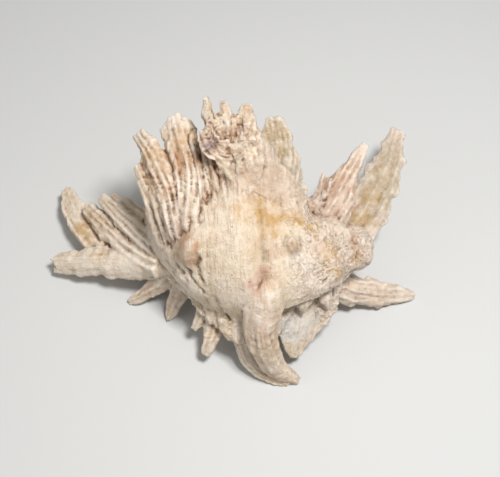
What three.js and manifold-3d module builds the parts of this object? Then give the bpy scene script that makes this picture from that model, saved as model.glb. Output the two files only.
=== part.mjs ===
// A weathered murex shell, lying with its aperture down, as one closed solid.
//
// Millimetres. +Z is up and Z = 0 is the surface that the shell rests on. +X points to the tip of the
// spire, -X to the end of the siphonal canal, +Y to the side of the outer lip.
//
// The shell is a spiral tube wound about an axis that runs from the tip of the spire to the canal.
// A place on it is given by three numbers: the distance s along the axis from the tip of the spire,
// the radius from the axis, and the angle about the axis. The angle is 0 at the top of the shell and
// grows towards +Y, which is the way the shell grew: the outer lip is its last and largest stage.

import * as THREE from "three";
import { mergeVertices } from "three/addons/utils/BufferGeometryUtils.js";
import Module from "manifold-3d";

const wasm = await Module();
wasm.setup();

// Driving dimensions

const SPIRE_TIP = new THREE.Vector3(71, -11, 52);
const AXIS_TILT = THREE.MathUtils.degToRad(5.2); // the canal end lies lower than the spire
const SHELL_LENGTH = 203; // along the axis, from the tip of the spire to the end of the canal
const TO_MIDDLE = new THREE.Vector3(10.7, -3.2, 0); // brings the middle of the finished shell to X = Y = 0
const LIP_ANGLE = 125; // degrees about the axis, on the far side and low
const GROWTH = 1.55; // size of a whorl over the size of the one before it
const LOST_TIP = 12; // length of the smallest whorls, which have broken off the spire
const WHORLS = 5;
const CANAL_START = 92; // s where the canal leaves the straight axis
const CANAL_DROP = 25; // how far the end of the canal bends down from the axis
const CANAL_SWING = 12; // and how far it bends to the far side

// Radius of the last whorl at the lip: suture, ramp, shoulder, flank and base. The lengths are along
// the axis from where the unbroken spire would have ended.
const WHORL_OUTLINE = [
  [56, 14],
  [70, 24],
  [75, 37],
  [83, 42],
  [93, 52],
  [102, 58],
  [118, 57],
  [138, 50],
  [153, 40],
  [163, 28],
  [170, 15],
  [176, 0],
];

// Radius of the columella and of the canal, against s.
const CORE_OUTLINE = [
  [-6, 0],
  [-4, 8],
  [1, 12],
  [8, 14],
  [14, 21],
  [22, 24],
  [34, 22],
  [60, 14],
  [110, 12],
  [135, 12],
  [150, 10],
  [170, 8],
  [188, 7],
  [198, 6.5],
  [203, 0],
];

// The thickened stages of the older whorls and the lip itself. A varix rises slowly from the older
// side and ends in a steep step.
const VARICES = [
  { angle: LIP_ANGLE, rise: 9, before: 26, after: 6 },
  { angle: -235, rise: 5, before: 26, after: 14 },
  { angle: -300, rise: 16, before: 32, after: 14 },
  { angle: -428, rise: 7, before: 30, after: 14 },
  { angle: -512, rise: 10, before: 30, after: 16 },
];

// The last whorl's two upper varices stand free: the radius of the crest against s. Part of the height
// belongs to a thin fin and the rest to a wide rise.
const CRESTS = [
  {
    name: "along the top",
    angle: 30,
    wide: 40,
    thin: 17,
    after: 9,
    thinShare: 0.7,
    heights: [
      [33, 32],
      [39, 47],
      [44, 56],
      [50, 65],
      [56, 78],
      [60, 86],
      [66, 88],
      [74, 84],
      [80, 67],
      [88, 57],
      [95, 55],
      [105, 53],
      [112, 47],
      [120, 38],
      [128, 28],
      [136, 16],
    ],
  },
  {
    name: "on the near side",
    angle: -106,
    wide: 26,
    thin: 26,
    after: 10,
    thinShare: 0,
    heights: [
      [30, 20],
      [36, 26],
      [45, 38],
      [55, 50],
      [66, 57],
      [76, 57],
      [85, 53],
      [98, 41],
      [105, 33],
      [112, 25],
      [122, 16],
    ],
  },
];

// The near side of the spire is swollen: its radius against s.
const SPIRE_SIDE = [
  [0, 6],
  [4, 12],
  [8, 17],
  [14, 24],
  [19, 29],
  [28, 36],
  [36, 40],
  [44, 43],
  [52, 44.5],
  [60, 44],
  [66, 40],
];

// Lumps on the surface: where, how wide along the axis and about it, and how high.
const LUMPS = [
  { name: "knob between the varices", s: 109, angle: -44, along: 8, about: 13, rise: 5 },
  { name: "stump of a lost spine", s: 44, angle: -22, along: 5, about: 11, rise: 3.5 },
  { name: "knob on the shoulder", s: 66, angle: -62, along: 7, about: 12, rise: 2.5 },
  { name: "near side of the worn tip", s: 4, angle: -78, along: 5, about: 24, rise: 3.5 },
  { name: "top of the worn tip", s: 2, angle: -12, along: 4, about: 22, rise: 2.5 },
  { name: "far side of the worn tip", s: 7, angle: 60, along: 6, about: 30, rise: 3.5 },
  { name: "step on the spire", s: 19, angle: -58, along: 5, about: 20, rise: 4 },
];

const smoothstep = THREE.MathUtils.smoothstep;

// A smooth curve through [x, y] points, level at neither end.
function curveThrough(points) {
  return (x) => {
    const last = points.length - 1;
    if (x <= points[0][0]) return points[0][1];
    if (x >= points[last][0]) return points[last][1];
    const i = points.findIndex((p) => p[0] > x) - 1;
    const [x0, y0] = points[i];
    const [x1, y1] = points[i + 1];
    const before = points[Math.max(i - 1, 0)];
    const after = points[Math.min(i + 2, last)];
    const slope0 = ((y1 - before[1]) / (x1 - before[0])) * (x1 - x0);
    const slope1 = ((after[1] - y0) / (after[0] - x0)) * (x1 - x0);
    const t = (x - x0) / (x1 - x0);
    const h = t * t * (3 - 2 * t);
    return (
      y0 * (1 - h) + y1 * h + slope0 * t * (1 - t) * (1 - t) - slope1 * t * t * (1 - t)
    );
  };
}

const whorlOutline = curveThrough(WHORL_OUTLINE);
const coreOutline = curveThrough(CORE_OUTLINE);
const spireSide = curveThrough(SPIRE_SIDE);

const AXIS = new THREE.Vector3(-Math.cos(AXIS_TILT), 0, -Math.sin(AXIS_TILT));
const AXIS_UP = new THREE.Vector3(-Math.sin(AXIS_TILT), 0, Math.cos(AXIS_TILT));
const AXIS_SIDE = new THREE.Vector3(0, 1, 0);

// The middle of the tube at s. It follows the axis and then bends down along the canal.
function axisPoint(s) {
  const bend = smoothstep(s, CANAL_START, SHELL_LENGTH + 12);
  return SPIRE_TIP.clone()
    .addScaledVector(AXIS, s)
    .addScaledVector(AXIS_UP, -CANAL_DROP * bend)
    .addScaledVector(AXIS_SIDE, CANAL_SWING * bend);
}

// The point at radius r from the axis.
function place(s, r, angle) {
  const a = THREE.MathUtils.degToRad(angle);
  return axisPoint(s)
    .addScaledVector(AXIS_UP, r * Math.cos(a))
    .addScaledVector(AXIS_SIDE, r * Math.sin(a));
}

// 1 at a crest, falling slowly on the older side and fast on the younger side.
function oneSidedBell(off, before, after) {
  return Math.exp(-((off / (off < 0 ? before : after)) ** 2) * 1.6);
}

// Radius of the outermost whorl or of the columella, with the older varices.
function plainRadius(s, angle) {
  let radius = coreOutline(s);
  for (let n = 0; n < WHORLS; n += 1) {
    const turn = angle - 360 * n;
    const size = GROWTH ** ((turn - LIP_ANGLE) / 360);
    const own = (s + LOST_TIP) / size; // the same place on the scale of the lip
    if (own < WHORL_OUTLINE[0][0] || own > WHORL_OUTLINE.at(-1)[0]) continue;
    const flank = smoothstep(own, 52, 78) * (1 - smoothstep(own, 158, 172));
    let rise = 0;
    for (const varix of VARICES) {
      const bell = oneSidedBell(turn - varix.angle, varix.before, varix.after);
      rise = Math.max(rise, varix.rise * bell);
    }
    radius = Math.max(radius, size * (whorlOutline(own) + rise * flank));
  }
  return radius;
}

// Radius of the shell's outside at s and angle, with the angle between LIP_ANGLE - 360 and LIP_ANGLE.
function shellRadius(s, angle) {
  let radius = plainRadius(s, angle);
  const side = spireSide(s) * (1 - 0.13 * smoothstep(angle, -70, -20));
  const along = smoothstep(s, -1, 4) * (1 - smoothstep(s, 54, 68));
  const about = smoothstep(angle, -93, -87) * (1 - smoothstep(angle, -15, 40));
  radius += Math.max(side - radius, 0) * along * about;
  for (const crest of CRESTS) {
    const first = crest.heights[0][0];
    const last = crest.heights.at(-1)[0];
    const inside = smoothstep(s, first - 4, first + 3) * (1 - smoothstep(s, last - 2, last + 5));
    const wide = oneSidedBell(angle - crest.angle, crest.wide, crest.after);
    const thin = oneSidedBell(angle - crest.angle, crest.thin, crest.after);
    const share = crest.thinShare * thin + (1 - crest.thinShare) * wide;
    const stands = curveThrough(crest.heights)(s) - plainRadius(s, crest.angle);
    radius += Math.max(stands, 0) * inside * share;
  }
  for (const lump of LUMPS) {
    const along = (s - lump.s) / lump.along;
    const about = (angle - lump.angle) / lump.about;
    radius += lump.rise * Math.exp(-along * along - about * about);
  }
  return radius;
}

// A closed surface from rings of points, each ring closed on itself, with a point at either end.
function ringSolid(start, rings, end) {
  const count = rings[0].length;
  const positions = [start, ...rings.flat(), end].flatMap((p) => p.toArray());
  const at = (ring, k) => 1 + ring * count + (k % count);
  const last = 1 + rings.length * count;
  const faces = [];
  for (let k = 0; k < count; k += 1) {
    faces.push(0, at(0, k + 1), at(0, k));
    for (let ring = 0; ring < rings.length - 1; ring += 1) {
      faces.push(at(ring, k), at(ring, k + 1), at(ring + 1, k));
      faces.push(at(ring, k + 1), at(ring + 1, k + 1), at(ring + 1, k));
    }
    faces.push(last, at(rings.length - 1, k), at(rings.length - 1, k + 1));
  }
  const geometry = new THREE.BufferGeometry();
  geometry.setAttribute("position", new THREE.Float32BufferAttribute(positions, 3));
  geometry.setIndex(faces);
  return manifoldOf(geometry);
}

// A manifold-3d solid of a closed geometry. It is turned to face outwards.
function manifoldOf(geometry) {
  const merged = mergeVertices(geometry, 1e-4);
  const index = merged.index.array;
  const faces = [];
  for (let i = 0; i < index.length; i += 3) {
    const [a, b, c] = [index[i], index[i + 1], index[i + 2]];
    if (a !== b && b !== c && c !== a) faces.push(a, b, c);
  }
  const vertices = new Float32Array(merged.attributes.position.array);
  const make = (list) =>
    new wasm.Manifold(
      new wasm.Mesh({
        numProp: 3,
        vertProperties: vertices,
        triVerts: new Uint32Array(list),
      }),
    );
  const made = make(faces);
  if (made.volume() > 0) return made;
  const turned = [];
  for (let i = 0; i < faces.length; i += 3) {
    turned.push(faces[i], faces[i + 2], faces[i + 1]);
  }
  return make(turned);
}

// The whorls, the columella and the canal.
function shellBody() {
  const ANGLE_STEPS = 42;
  const AXIAL_STEPS = 49;
  const rings = [];
  for (let i = 1; i < AXIAL_STEPS; i += 1) {
    const s = -5 + (SHELL_LENGTH + 4) * (i / AXIAL_STEPS);
    const ring = [];
    for (let k = 0; k <= ANGLE_STEPS; k += 1) {
      const angle = LIP_ANGLE - 360 + (360 * k) / ANGLE_STEPS;
      ring.push(place(s, Math.max(shellRadius(s, angle), 0.5), angle));
    }
    rings.push(ring);
  }
  return ringSolid(place(-6, 0, 0), rings, place(SHELL_LENGTH, 0, 0));
}

// The hollow that winds back from the aperture inside the last whorl.
function livingChamber() {
  const STEPS = 13;
  const ROUND = 16;
  const rings = [];
  for (let i = 0; i <= STEPS; i += 1) {
    const angle = LIP_ANGLE + 9 - (i / STEPS) * 190;
    const size = GROWTH ** ((angle - LIP_ANGLE) / 360) * (1 - 0.35 * smoothstep(i, 8, STEPS));
    const ring = [];
    for (let k = 0; k < ROUND; k += 1) {
      const a = (2 * Math.PI * k) / ROUND;
      const s = size * (117 + 27 * Math.cos(a)) - LOST_TIP;
      const r = size * (36 + 13.5 * Math.sin(a));
      ring.push(place(s, r, angle));
    }
    rings.push(ring);
  }
  const middle = (ring) =>
    ring.reduce((sum, p) => sum.add(p), new THREE.Vector3()).divideScalar(ring.length);
  return ringSolid(middle(rings[0]), rings, middle(rings.at(-1)));
}

// The groove under the canal.
function canalSlit() {
  const STEPS = 8;
  const rings = [];
  for (let i = 0; i <= STEPS; i += 1) {
    const s = 138 + (i / STEPS) * 70;
    const ring = [];
    for (const [r, offset] of [[3.5, 14], [3.5, -14], [22, -5], [22, 5]]) {
      ring.push(place(s, r, 165 + offset));
    }
    rings.push(ring);
  }
  return ringSolid(place(137.5, 12, 165), rings, place(208.5, 12, 165));
}

// A spine or a leafy frond: a flat, cupped and ribbed blade swept along a curve.
//   path       points along its middle, from inside the shell to the tip
//   halfWidth  half widths, spaced evenly from root to tip
//   thickness  half thicknesses, spaced evenly from root to tip
//   face       the direction that its broad face looks in
//   cup        how far the edges stand forward of the middle, as a share of the half width
//   ribs       number of lengthwise ribs
//   notch      how deep the teeth along the edges are, as a share of the half width
function frond({ path, halfWidth, thickness, face, cup = 0, ribs = 0, notch = 0, seed = 1 }) {
  const STEPS = 7;
  const ROUND = 10;
  const curve = new THREE.CatmullRomCurve3(path.map((p) => new THREE.Vector3(...p)));
  const width = curveThrough(halfWidth.map((w, i) => [i / (halfWidth.length - 1), w]));
  const depth = curveThrough(thickness.map((w, i) => [i / (thickness.length - 1), w]));
  const looks = new THREE.Vector3(...face).normalize();
  const rings = [];
  for (let i = 0; i <= STEPS; i += 1) {
    const t = i / STEPS;
    const middle = curve.getPointAt(t);
    const along = curve.getTangentAt(t);
    const across = new THREE.Vector3().crossVectors(along, looks).normalize();
    const out = new THREE.Vector3().crossVectors(across, along).normalize();
    const tooth = 1 + notch * Math.sin(i * 2.4 + seed) * smoothstep(t, 0.25, 0.6);
    const ring = [];
    for (let k = 0; k < ROUND; k += 1) {
      const a = (2 * Math.PI * k) / ROUND;
      const x = Math.cos(a);
      const side = Math.sign(x) * Math.abs(x) ** 0.8;
      const thick = Math.sin(a) * (1 + 0.18 * Math.cos(ribs * Math.PI * side));
      ring.push(
        middle
          .clone()
          .addScaledVector(across, side * width(t) * tooth)
          .addScaledVector(out, thick * depth(t) + cup * side * side * width(t)),
      );
    }
    rings.push(ring);
  }
  const root = curve.getPointAt(0).addScaledVector(curve.getTangentAt(0), -1);
  const tip = curve.getPointAt(1).addScaledVector(curve.getTangentAt(1), 1);
  return ringSolid(root, rings, tip);
}

// Directions that the broad faces look in.
const TO_VIEWER = [0, -0.5, 0.87];
const UP = [0, 0, 1];

// Fronds of the varix that stands along the top of the shell, from the canal to the shoulder.
const TOP_FRONDS = [
  {
    path: [[-50, -14, 50], [-53, -12, 69], [-58, 0, 83], [-64, 13, 92], [-69, 23, 93]],
    halfWidth: [7, 6.5, 5.5, 2.5],
    thickness: [5, 4, 3, 1.6],
    face: TO_VIEWER,
    cup: -0.15,
    ribs: 2,
    notch: 0.12,
  },
  {
    path: [[-46, -14, 55], [-49, -13, 77], [-55, 3, 90], [-65, 27, 94]],
    halfWidth: [7, 6.5, 5.5, 2.5],
    thickness: [5, 4, 3, 1.6],
    face: TO_VIEWER,
    cup: -0.15,
    ribs: 2,
    notch: 0.12,
    seed: 2,
  },
  {
    path: [[-42, -14, 60], [-44, -14, 83], [-50, 7, 96], [-60, 30, 99], [-68, 43, 98]],
    halfWidth: [7, 8, 8, 7.5, 4],
    thickness: [2.5, 4.2, 3.2, 1.8],
    face: TO_VIEWER,
    cup: -0.15,
    ribs: 3,
    notch: 0.1,
    seed: 3,
  },
  {
    path: [[-34, -12, 66], [-38, -12, 86], [-36, 10, 99], [-46, 49, 106]],
    halfWidth: [9, 10, 10.5, 11],
    thickness: [3, 5, 3.8, 2],
    face: TO_VIEWER,
    cup: -0.12,
    ribs: 3,
    notch: 0.08,
    seed: 4,
  },
  {
    path: [[8, -2, 62], [2, 5, 88], [-4, 15, 104], [-7, 26, 114], [-8, 38, 122]],
    halfWidth: [18, 19, 18, 15, 12, 11],
    thickness: [4, 6, 6, 5, 4.5, 3],
    face: TO_VIEWER,
    cup: 0.16,
    seed: 5,
  },
  {
    path: [[-8, 12, 101], [-15, 20, 110], [-21, 29, 118], [-26, 45, 131]],
    halfWidth: [8, 7, 5.5, 1.4],
    thickness: [5, 4, 3, 1.4],
    face: [0.5, -0.5, 0.7],
    cup: 0.35,
    seed: 6,
  },
  {
    path: [[5, 0, 86], [0, 4, 96], [-4, 11, 106], [-7, 20, 113]],
    halfWidth: [10, 14, 14, 9],
    thickness: [5, 5, 4, 3],
    face: TO_VIEWER,
    cup: 0.4,
    notch: 0.15,
    seed: 27,
  },
  {
    path: [[-9, 28, 114], [-13, 35, 121], [-16, 43, 128]],
    halfWidth: [6, 5.5, 3],
    thickness: [5, 4, 2],
    face: TO_VIEWER,
  },
  {
    path: [[-5, 28, 114], [-3, 36, 121], [-2, 43, 127]],
    halfWidth: [6, 5.5, 3.4],
    thickness: [5, 4, 2],
    face: TO_VIEWER,
  },
];

// Fronds of the outer lip that rise behind the shell: the broad frill and the long blade at the back.
const LIP_FRONDS = [
  {
    path: [[12, 14, 24], [14, 46, 30], [18, 70, 42], [17, 87, 57]],
    halfWidth: [20, 25, 22, 15, 6],
    thickness: [6, 5, 4, 3, 1.6],
    face: [0, -0.75, 0.66],
    cup: 0.12,
    ribs: 3,
    notch: 0.06,
    seed: 7,
  },
  {
    path: [[30, 22, 18], [52, 13, 23], [67, 19, 26], [81, 38, 31], [92, 60, 36], [101, 88, 40]],
    halfWidth: [12, 15, 16.5, 14, 10, 4.5],
    thickness: [6, 5, 4, 3.4, 2.6, 1.4],
    face: UP,
    cup: 0.12,
    ribs: 2,
    notch: 0.08,
    seed: 8,
  },
];

// Spines of the older varices on the spire.
const SPIRE_FRONDS = [
  {
    path: [[38, -8, 52], [44, 2, 62], [50, 9, 69], [60, 24, 81], [71, 42, 90]],
    halfWidth: [18, 17, 11, 6, 2.2],
    thickness: [8, 7, 5.5, 3.6, 1.6],
    face: TO_VIEWER,
    cup: 0.1,
    ribs: 2,
    notch: 0.1,
    seed: 9,
  },
  {
    path: [[38, -2, 62], [42, 12, 72], [45, 26, 81]],
    halfWidth: [5, 4, 1.2],
    thickness: [4, 3, 1.2],
    face: TO_VIEWER,
  },
  {
    path: [[44, -14, 40], [50, -20, 28], [66, -22, 17], [90, -21, 8], [109, -18, 1.6]],
    halfWidth: [9, 10.5, 10, 7.5, 2.5],
    thickness: [7, 6.5, 5, 3.2, 2.6],
    face: TO_VIEWER,
    cup: -0.1,
    ribs: 2,
    notch: 0.1,
    seed: 10,
  },
];

// Spines of the varix on the near side, from the shoulder to the canal.
const NEAR_FRONDS = [
  {
    path: [
      [17, -40, 68],
      [10, -54, 64],
      [7, -64, 50],
      [9, -71, 34],
      [14, -75, 19],
      [21, -77, 9],
      [30, -79, 1.4],
    ],
    halfWidth: [11, 12, 12, 10, 8, 6.5, 2.6],
    thickness: [5, 6, 6.5, 6, 5, 4, 2.6],
    face: [0.1, -0.7, 0.7],
    cup: -0.28,
    notch: 0.05,
    seed: 11,
  },
  {
    path: [[-4, -32, 44], [-5, -55, 30], [-2, -67, 15], [8, -75, 6], [24, -81, 1.4]],
    halfWidth: [8, 7.5, 6.5, 5.5, 2],
    thickness: [6, 5, 4, 3, 1.8],
    face: [-0.3, -0.6, 0.74],
    cup: -0.1,
    seed: 12,
  },
  {
    path: [[30, -16, 48], [35, -34, 36], [32, -47, 26], [29, -59, 17], [30, -66, 11]],
    halfWidth: [18, 19, 14, 10, 3],
    thickness: [8, 7, 5, 4, 2],
    face: [0.5, -0.7, 0.5],
    cup: 0.15,
    seed: 13,
  },
  {
    path: [[-16, -30, 38], [-20, -46, 29], [-24, -56, 20], [-28, -65, 12]],
    halfWidth: [10, 9, 6.5, 2.4],
    thickness: [6, 5, 3.6, 1.6],
    face: TO_VIEWER,
    cup: -0.15,
    ribs: 2,
    notch: 0.12,
    seed: 14,
  },
  {
    path: [[-22, -28, 36], [-27, -42, 28], [-36, -51, 18]],
    halfWidth: [8, 6, 2.2],
    thickness: [5, 4, 1.6],
    face: TO_VIEWER,
    notch: 0.1,
    seed: 15,
  },
  {
    path: [[-36, -16, 34], [-43, -23, 24], [-49, -30, 12], [-54, -37, 1.6]],
    halfWidth: [7, 6.5, 5, 2.2],
    thickness: [5, 4.5, 3.4, 1.8],
    face: TO_VIEWER,
    cup: -0.15,
    notch: 0.1,
    seed: 16,
  },
  {
    path: [[-46, -12, 34], [-56, -18, 23], [-67, -21, 11], [-80, -23, 1.6]],
    halfWidth: [7, 6.5, 5, 2.2],
    thickness: [5, 4.5, 3.4, 1.8],
    face: TO_VIEWER,
    cup: -0.15,
    notch: 0.1,
    seed: 17,
  },
  {
    path: [[-56, -9, 30], [-66, -10, 22], [-78, -11, 13]],
    halfWidth: [6, 5, 2.6],
    thickness: [4, 3.4, 1.6],
    face: TO_VIEWER,
    notch: 0.1,
    seed: 18,
  },
];

// The ends of earlier canals, which lie beside the present one like fingers.
const CANAL_FRONDS = [
  {
    path: [[-90, -2, 20], [-101, 10, 18], [-115, 30, 14], [-128, 59, 11]],
    halfWidth: [9, 9, 8.5, 4],
    thickness: [6, 5, 4, 2.2],
    face: UP,
    cup: 0.2,
    notch: 0.08,
    seed: 19,
  },
  {
    path: [[-56, -16, 40], [-72, -4, 35], [-90, 13, 31], [-110, 36, 24]],
    halfWidth: [9, 9.5, 8, 4.5],
    thickness: [7, 6, 4.6, 2.4],
    face: TO_VIEWER,
    cup: -0.2,
    ribs: 2,
    notch: 0.1,
    seed: 20,
  },
  {
    path: [[-54, -10, 44], [-66, 0, 44], [-81, 16, 41], [-98, 36, 36]],
    halfWidth: [8, 7.5, 6.5, 3],
    thickness: [6, 5.5, 4, 2],
    face: TO_VIEWER,
    cup: -0.2,
    ribs: 2,
    notch: 0.1,
    seed: 21,
  },
  {
    path: [[-54, -4, 42], [-66, 8, 42], [-80, 25, 37], [-92, 40, 32]],
    halfWidth: [8, 7, 5.5, 2.4],
    thickness: [6, 5, 3.6, 1.8],
    face: TO_VIEWER,
    cup: -0.15,
    notch: 0.12,
    seed: 22,
  },
  {
    path: [[-54, 2, 40], [-64, 14, 36], [-76, 30, 29], [-85, 44, 23]],
    halfWidth: [8, 6.5, 5, 2],
    thickness: [6, 5, 3.6, 1.6],
    face: TO_VIEWER,
    notch: 0.12,
    seed: 23,
  },
];

// Spines of the outer lip that point down and out. The shell rests on the worn ends of every other one.
function lipSpines() {
  const COUNT = 6;
  const PITCH = 14.5;
  const SHORT_OF_GROUND = 5;
  const spines = [];
  for (let i = 0; i < COUNT; i += 1) {
    const s = 64 + PITCH * i;
    const edge = plainRadius(s, LIP_ANGLE - 1);
    const endHeight = i % 2 === 0 ? -1 : SHORT_OF_GROUND;
    const end = place(s + 4, edge + 10, LIP_ANGLE - 1);
    const outward = end.clone().sub(axisPoint(s + 4));
    end.addScaledVector(outward, (endHeight - end.z) / outward.z);
    spines.push({
      path: [
        place(s, edge - 14, LIP_ANGLE - 8).toArray(),
        place(s + 1, edge, LIP_ANGLE - 1).toArray(),
        end.toArray(),
      ],
      halfWidth: [9, 7, 2.8],
      thickness: [5, 3.6, 2],
      face: [0, -0.57, -0.82],
      cup: 0.2,
      notch: 0.1,
      seed: 30 + i,
    });
  }
  return spines;
}

// The largest separate piece, without loose crumbs and closed pockets.
function largestBody(manifold) {
  const bodies = manifold.decompose();
  bodies.sort((a, b) => b.volume() - a.volume());
  return bodies[0];
}

// One solid of everything, cut flat where the worn ends touch the surface.
function makeShell() {
  const solids = [
    ...TOP_FRONDS,
    ...LIP_FRONDS,
    ...SPIRE_FRONDS,
    ...NEAR_FRONDS,
    ...CANAL_FRONDS,
    ...lipSpines(),
  ].map(frond);
  let shell = wasm.Manifold.union([shellBody(), ...solids]);
  shell = shell.subtract(livingChamber()).subtract(canalSlit());
  const below = wasm.Manifold.cube([400, 400, 40], true).translate([0, 0, -20]);
  shell = shell.subtract(below);
  return largestBody(largestBody(shell).simplify(0.22));
}

function threeGeometry(manifold) {
  const mesh = manifold.getMesh();
  const geometry = new THREE.BufferGeometry();
  geometry.setAttribute("position", new THREE.Float32BufferAttribute(mesh.vertProperties, 3));
  geometry.setIndex(new THREE.BufferAttribute(mesh.triVerts, 1));
  geometry.computeVertexNormals();
  return geometry;
}

const shellMaterial = new THREE.MeshStandardMaterial({
  color: 0xe3d0b2,
  roughness: 0.8,
  metalness: 0,
});

const shell = new THREE.Mesh(threeGeometry(makeShell()), shellMaterial);
shell.name = "shell";
shell.position.copy(TO_MIDDLE);

const group = new THREE.Group();
group.add(shell);

export default group;
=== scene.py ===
# %% [markdown]
# # A weathered murex shell
#
# This lesson builds one sea shell that has lain on a beach for a long time. It is a spiral tube with
# three thickened stages, called varices, on each whorl, and each varix carries leafy fronds. The
# shell lies with its aperture down, its spire to the right and its canal to the left.
# The measured model is loaded first. The shell's own lengths are in millimetres and its places are
# measured from near the middle of the photograph, and both are turned into that model's metres.

import bpy
import numpy as np
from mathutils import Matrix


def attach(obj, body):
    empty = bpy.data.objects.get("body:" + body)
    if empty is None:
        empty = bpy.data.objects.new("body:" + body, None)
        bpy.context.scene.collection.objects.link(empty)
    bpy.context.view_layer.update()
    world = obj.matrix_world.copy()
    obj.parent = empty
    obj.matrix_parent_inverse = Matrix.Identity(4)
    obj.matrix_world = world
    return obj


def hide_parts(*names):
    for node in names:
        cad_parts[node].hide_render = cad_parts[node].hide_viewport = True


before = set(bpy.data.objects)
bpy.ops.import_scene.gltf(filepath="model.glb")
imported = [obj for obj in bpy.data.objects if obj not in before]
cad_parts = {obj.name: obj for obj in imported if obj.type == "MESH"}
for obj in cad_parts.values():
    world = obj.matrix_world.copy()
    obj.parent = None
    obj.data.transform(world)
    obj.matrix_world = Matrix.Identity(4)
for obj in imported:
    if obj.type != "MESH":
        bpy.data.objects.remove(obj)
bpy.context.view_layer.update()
MM = 0.001

# %% [markdown]
# ## Camera, floor and light
#
# The photograph was taken from above and a little in front, with a flash near the lens. So the camera
# looks down at 60 degrees, one lamp hangs close over it, a weaker one fills from the left, and the
# room gives an even light. A point of light would also do, but a lamp with a size of its own gives
# the shadows a soft edge.

# %% Camera
CAMERA_PLACE = (0.0107, -0.3132, 0.5819)
CAMERA_TILT = np.radians(30.0)
LENS = 70.3
camera = bpy.data.objects.new("camera", bpy.data.cameras.new("camera"))
camera.location = CAMERA_PLACE
camera.rotation_euler = (CAMERA_TILT, 0.0, 0.0)
camera.data.sensor_width = 36.0
camera.data.lens = LENS
bpy.context.scene.collection.objects.link(camera)
bpy.context.scene.camera = camera
print("camera lens", camera.data.lens)

# %% Floor
FLOOR_SIZE = 6.0
FLOOR_COLOUR = (0.62, 0.62, 0.61, 1.0)
floor_mesh = bpy.data.meshes.new("floor")
corners = np.array([[-1, -1, 0], [1, -1, 0], [1, 1, 0], [-1, 1, 0]]) * FLOOR_SIZE / 2
floor_mesh.from_pydata(corners.tolist(), [], [(0, 1, 2, 3)])
floor = bpy.data.objects.new("floor", floor_mesh)
bpy.context.scene.collection.objects.link(floor)
floor_paint = bpy.data.materials.new("pale floor")
floor_paint.use_nodes = True
floor_shader = floor_paint.node_tree.nodes["Principled BSDF"]
floor_shader.inputs["Base Color"].default_value = FLOOR_COLOUR
floor_shader.inputs["Roughness"].default_value = 0.9
floor_mesh.materials.append(floor_paint)
print("floor side", FLOOR_SIZE, "m")

# %% Light
LAMP_AIM = (0.0, 0.0, 0.03)
ROOM_COLOUR = (1.0, 0.985, 0.96, 1.0)
ROOM_STRENGTH = 0.31


def soft_lamp(name, spot, size, power):
    """A square area lamp at a spot, turned to face the middle of the shell."""
    lamp = bpy.data.objects.new(name, bpy.data.lights.new(name, "AREA"))
    lamp.data.size = size
    lamp.data.energy = power
    lamp.location = spot
    direction = np.array(LAMP_AIM) - np.array(spot)
    lamp.rotation_euler = (
        float(np.arccos(-direction[2] / np.linalg.norm(direction))),
        0.0,
        float(np.arctan2(-direction[0], direction[1])),
    )
    bpy.context.scene.collection.objects.link(lamp)


soft_lamp("lamp over the camera", (0.20, -0.14, 0.82), size=0.15, power=6.9)
soft_lamp("fill from the left", (-1.1, -0.5, 0.7), size=0.9, power=2.0)
bpy.context.scene.view_settings.view_transform = "Standard"
world = bpy.data.worlds.new("room")
bpy.context.scene.world = world
world.use_nodes = True
room = world.node_tree.nodes["Background"]
room.inputs["Color"].default_value = ROOM_COLOUR
room.inputs["Strength"].default_value = ROOM_STRENGTH

# %% [markdown]
# ## Where a point of the shell is
#
# A shell is easiest to describe by its own spiral. A place on it has a distance s along the axis from
# the tip of the spire, a radius, and an angle about the axis that is 0 on top and grows towards the
# far side. These helpers turn such places into points and back, and give smooth curves and smooth
# random values for everything that follows. A sculpted mesh would work too, but then no number
# could be changed later.

# %% Smooth steps and curves
def smoothstep(x, low, high):
    """0 below low and 1 above high, with a smooth S between."""
    t = np.clip((x - low) / (high - low), 0.0, 1.0)
    return t * t * (3.0 - 2.0 * t)


def bell(x, width):
    """1 at x = 0, falling to nothing on both sides like a bell."""
    return np.exp(-((x / width) ** 2))


def curve_through(points):
    """A smooth curve through (x, y) points: a smooth blend of the two nearest values, bent at each
    end of the stretch by the slope between the points on either side."""
    xs, ys = np.array(points, dtype=float).T
    last = len(xs) - 1

    def curve(x):
        x = np.clip(x, xs[0], xs[last])
        i = np.clip(np.searchsorted(xs, x, side="right") - 1, 0, last - 1)
        x0, x1, y0, y1 = xs[i], xs[i + 1], ys[i], ys[i + 1]
        before = np.maximum(i - 1, 0)
        after = np.minimum(i + 2, last)
        slope0 = (y1 - ys[before]) / (x1 - xs[before]) * (x1 - x0)
        slope1 = (ys[after] - y0) / (xs[after] - x0) * (x1 - x0)
        t = (x - x0) / (x1 - x0)
        h = t * t * (3.0 - 2.0 * t)
        bends = slope0 * t * (1.0 - t) ** 2 - slope1 * t * t * (1.0 - t)
        return y0 * (1.0 - h) + y1 * h + bends

    return curve


print("smoothstep at a quarter:", float(smoothstep(0.25, 0.0, 1.0)))

# %% The axis
SPIRE_TIP = np.array([71.0, -11.0, 52.0])
# From the places below to the frame of the measured model.
TO_MIDDLE = np.array([10.7, -3.2, 0.0])
AXIS_TILT = np.radians(5.2)
SHELL_LENGTH = 203.0
CANAL_START = 92.0
CANAL_DROP = 25.0
CANAL_SWING = 12.0
AXIS = np.array([-np.cos(AXIS_TILT), 0.0, -np.sin(AXIS_TILT)])
AXIS_UP = np.array([-np.sin(AXIS_TILT), 0.0, np.cos(AXIS_TILT)])
AXIS_SIDE = np.array([0.0, 1.0, 0.0])


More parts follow.
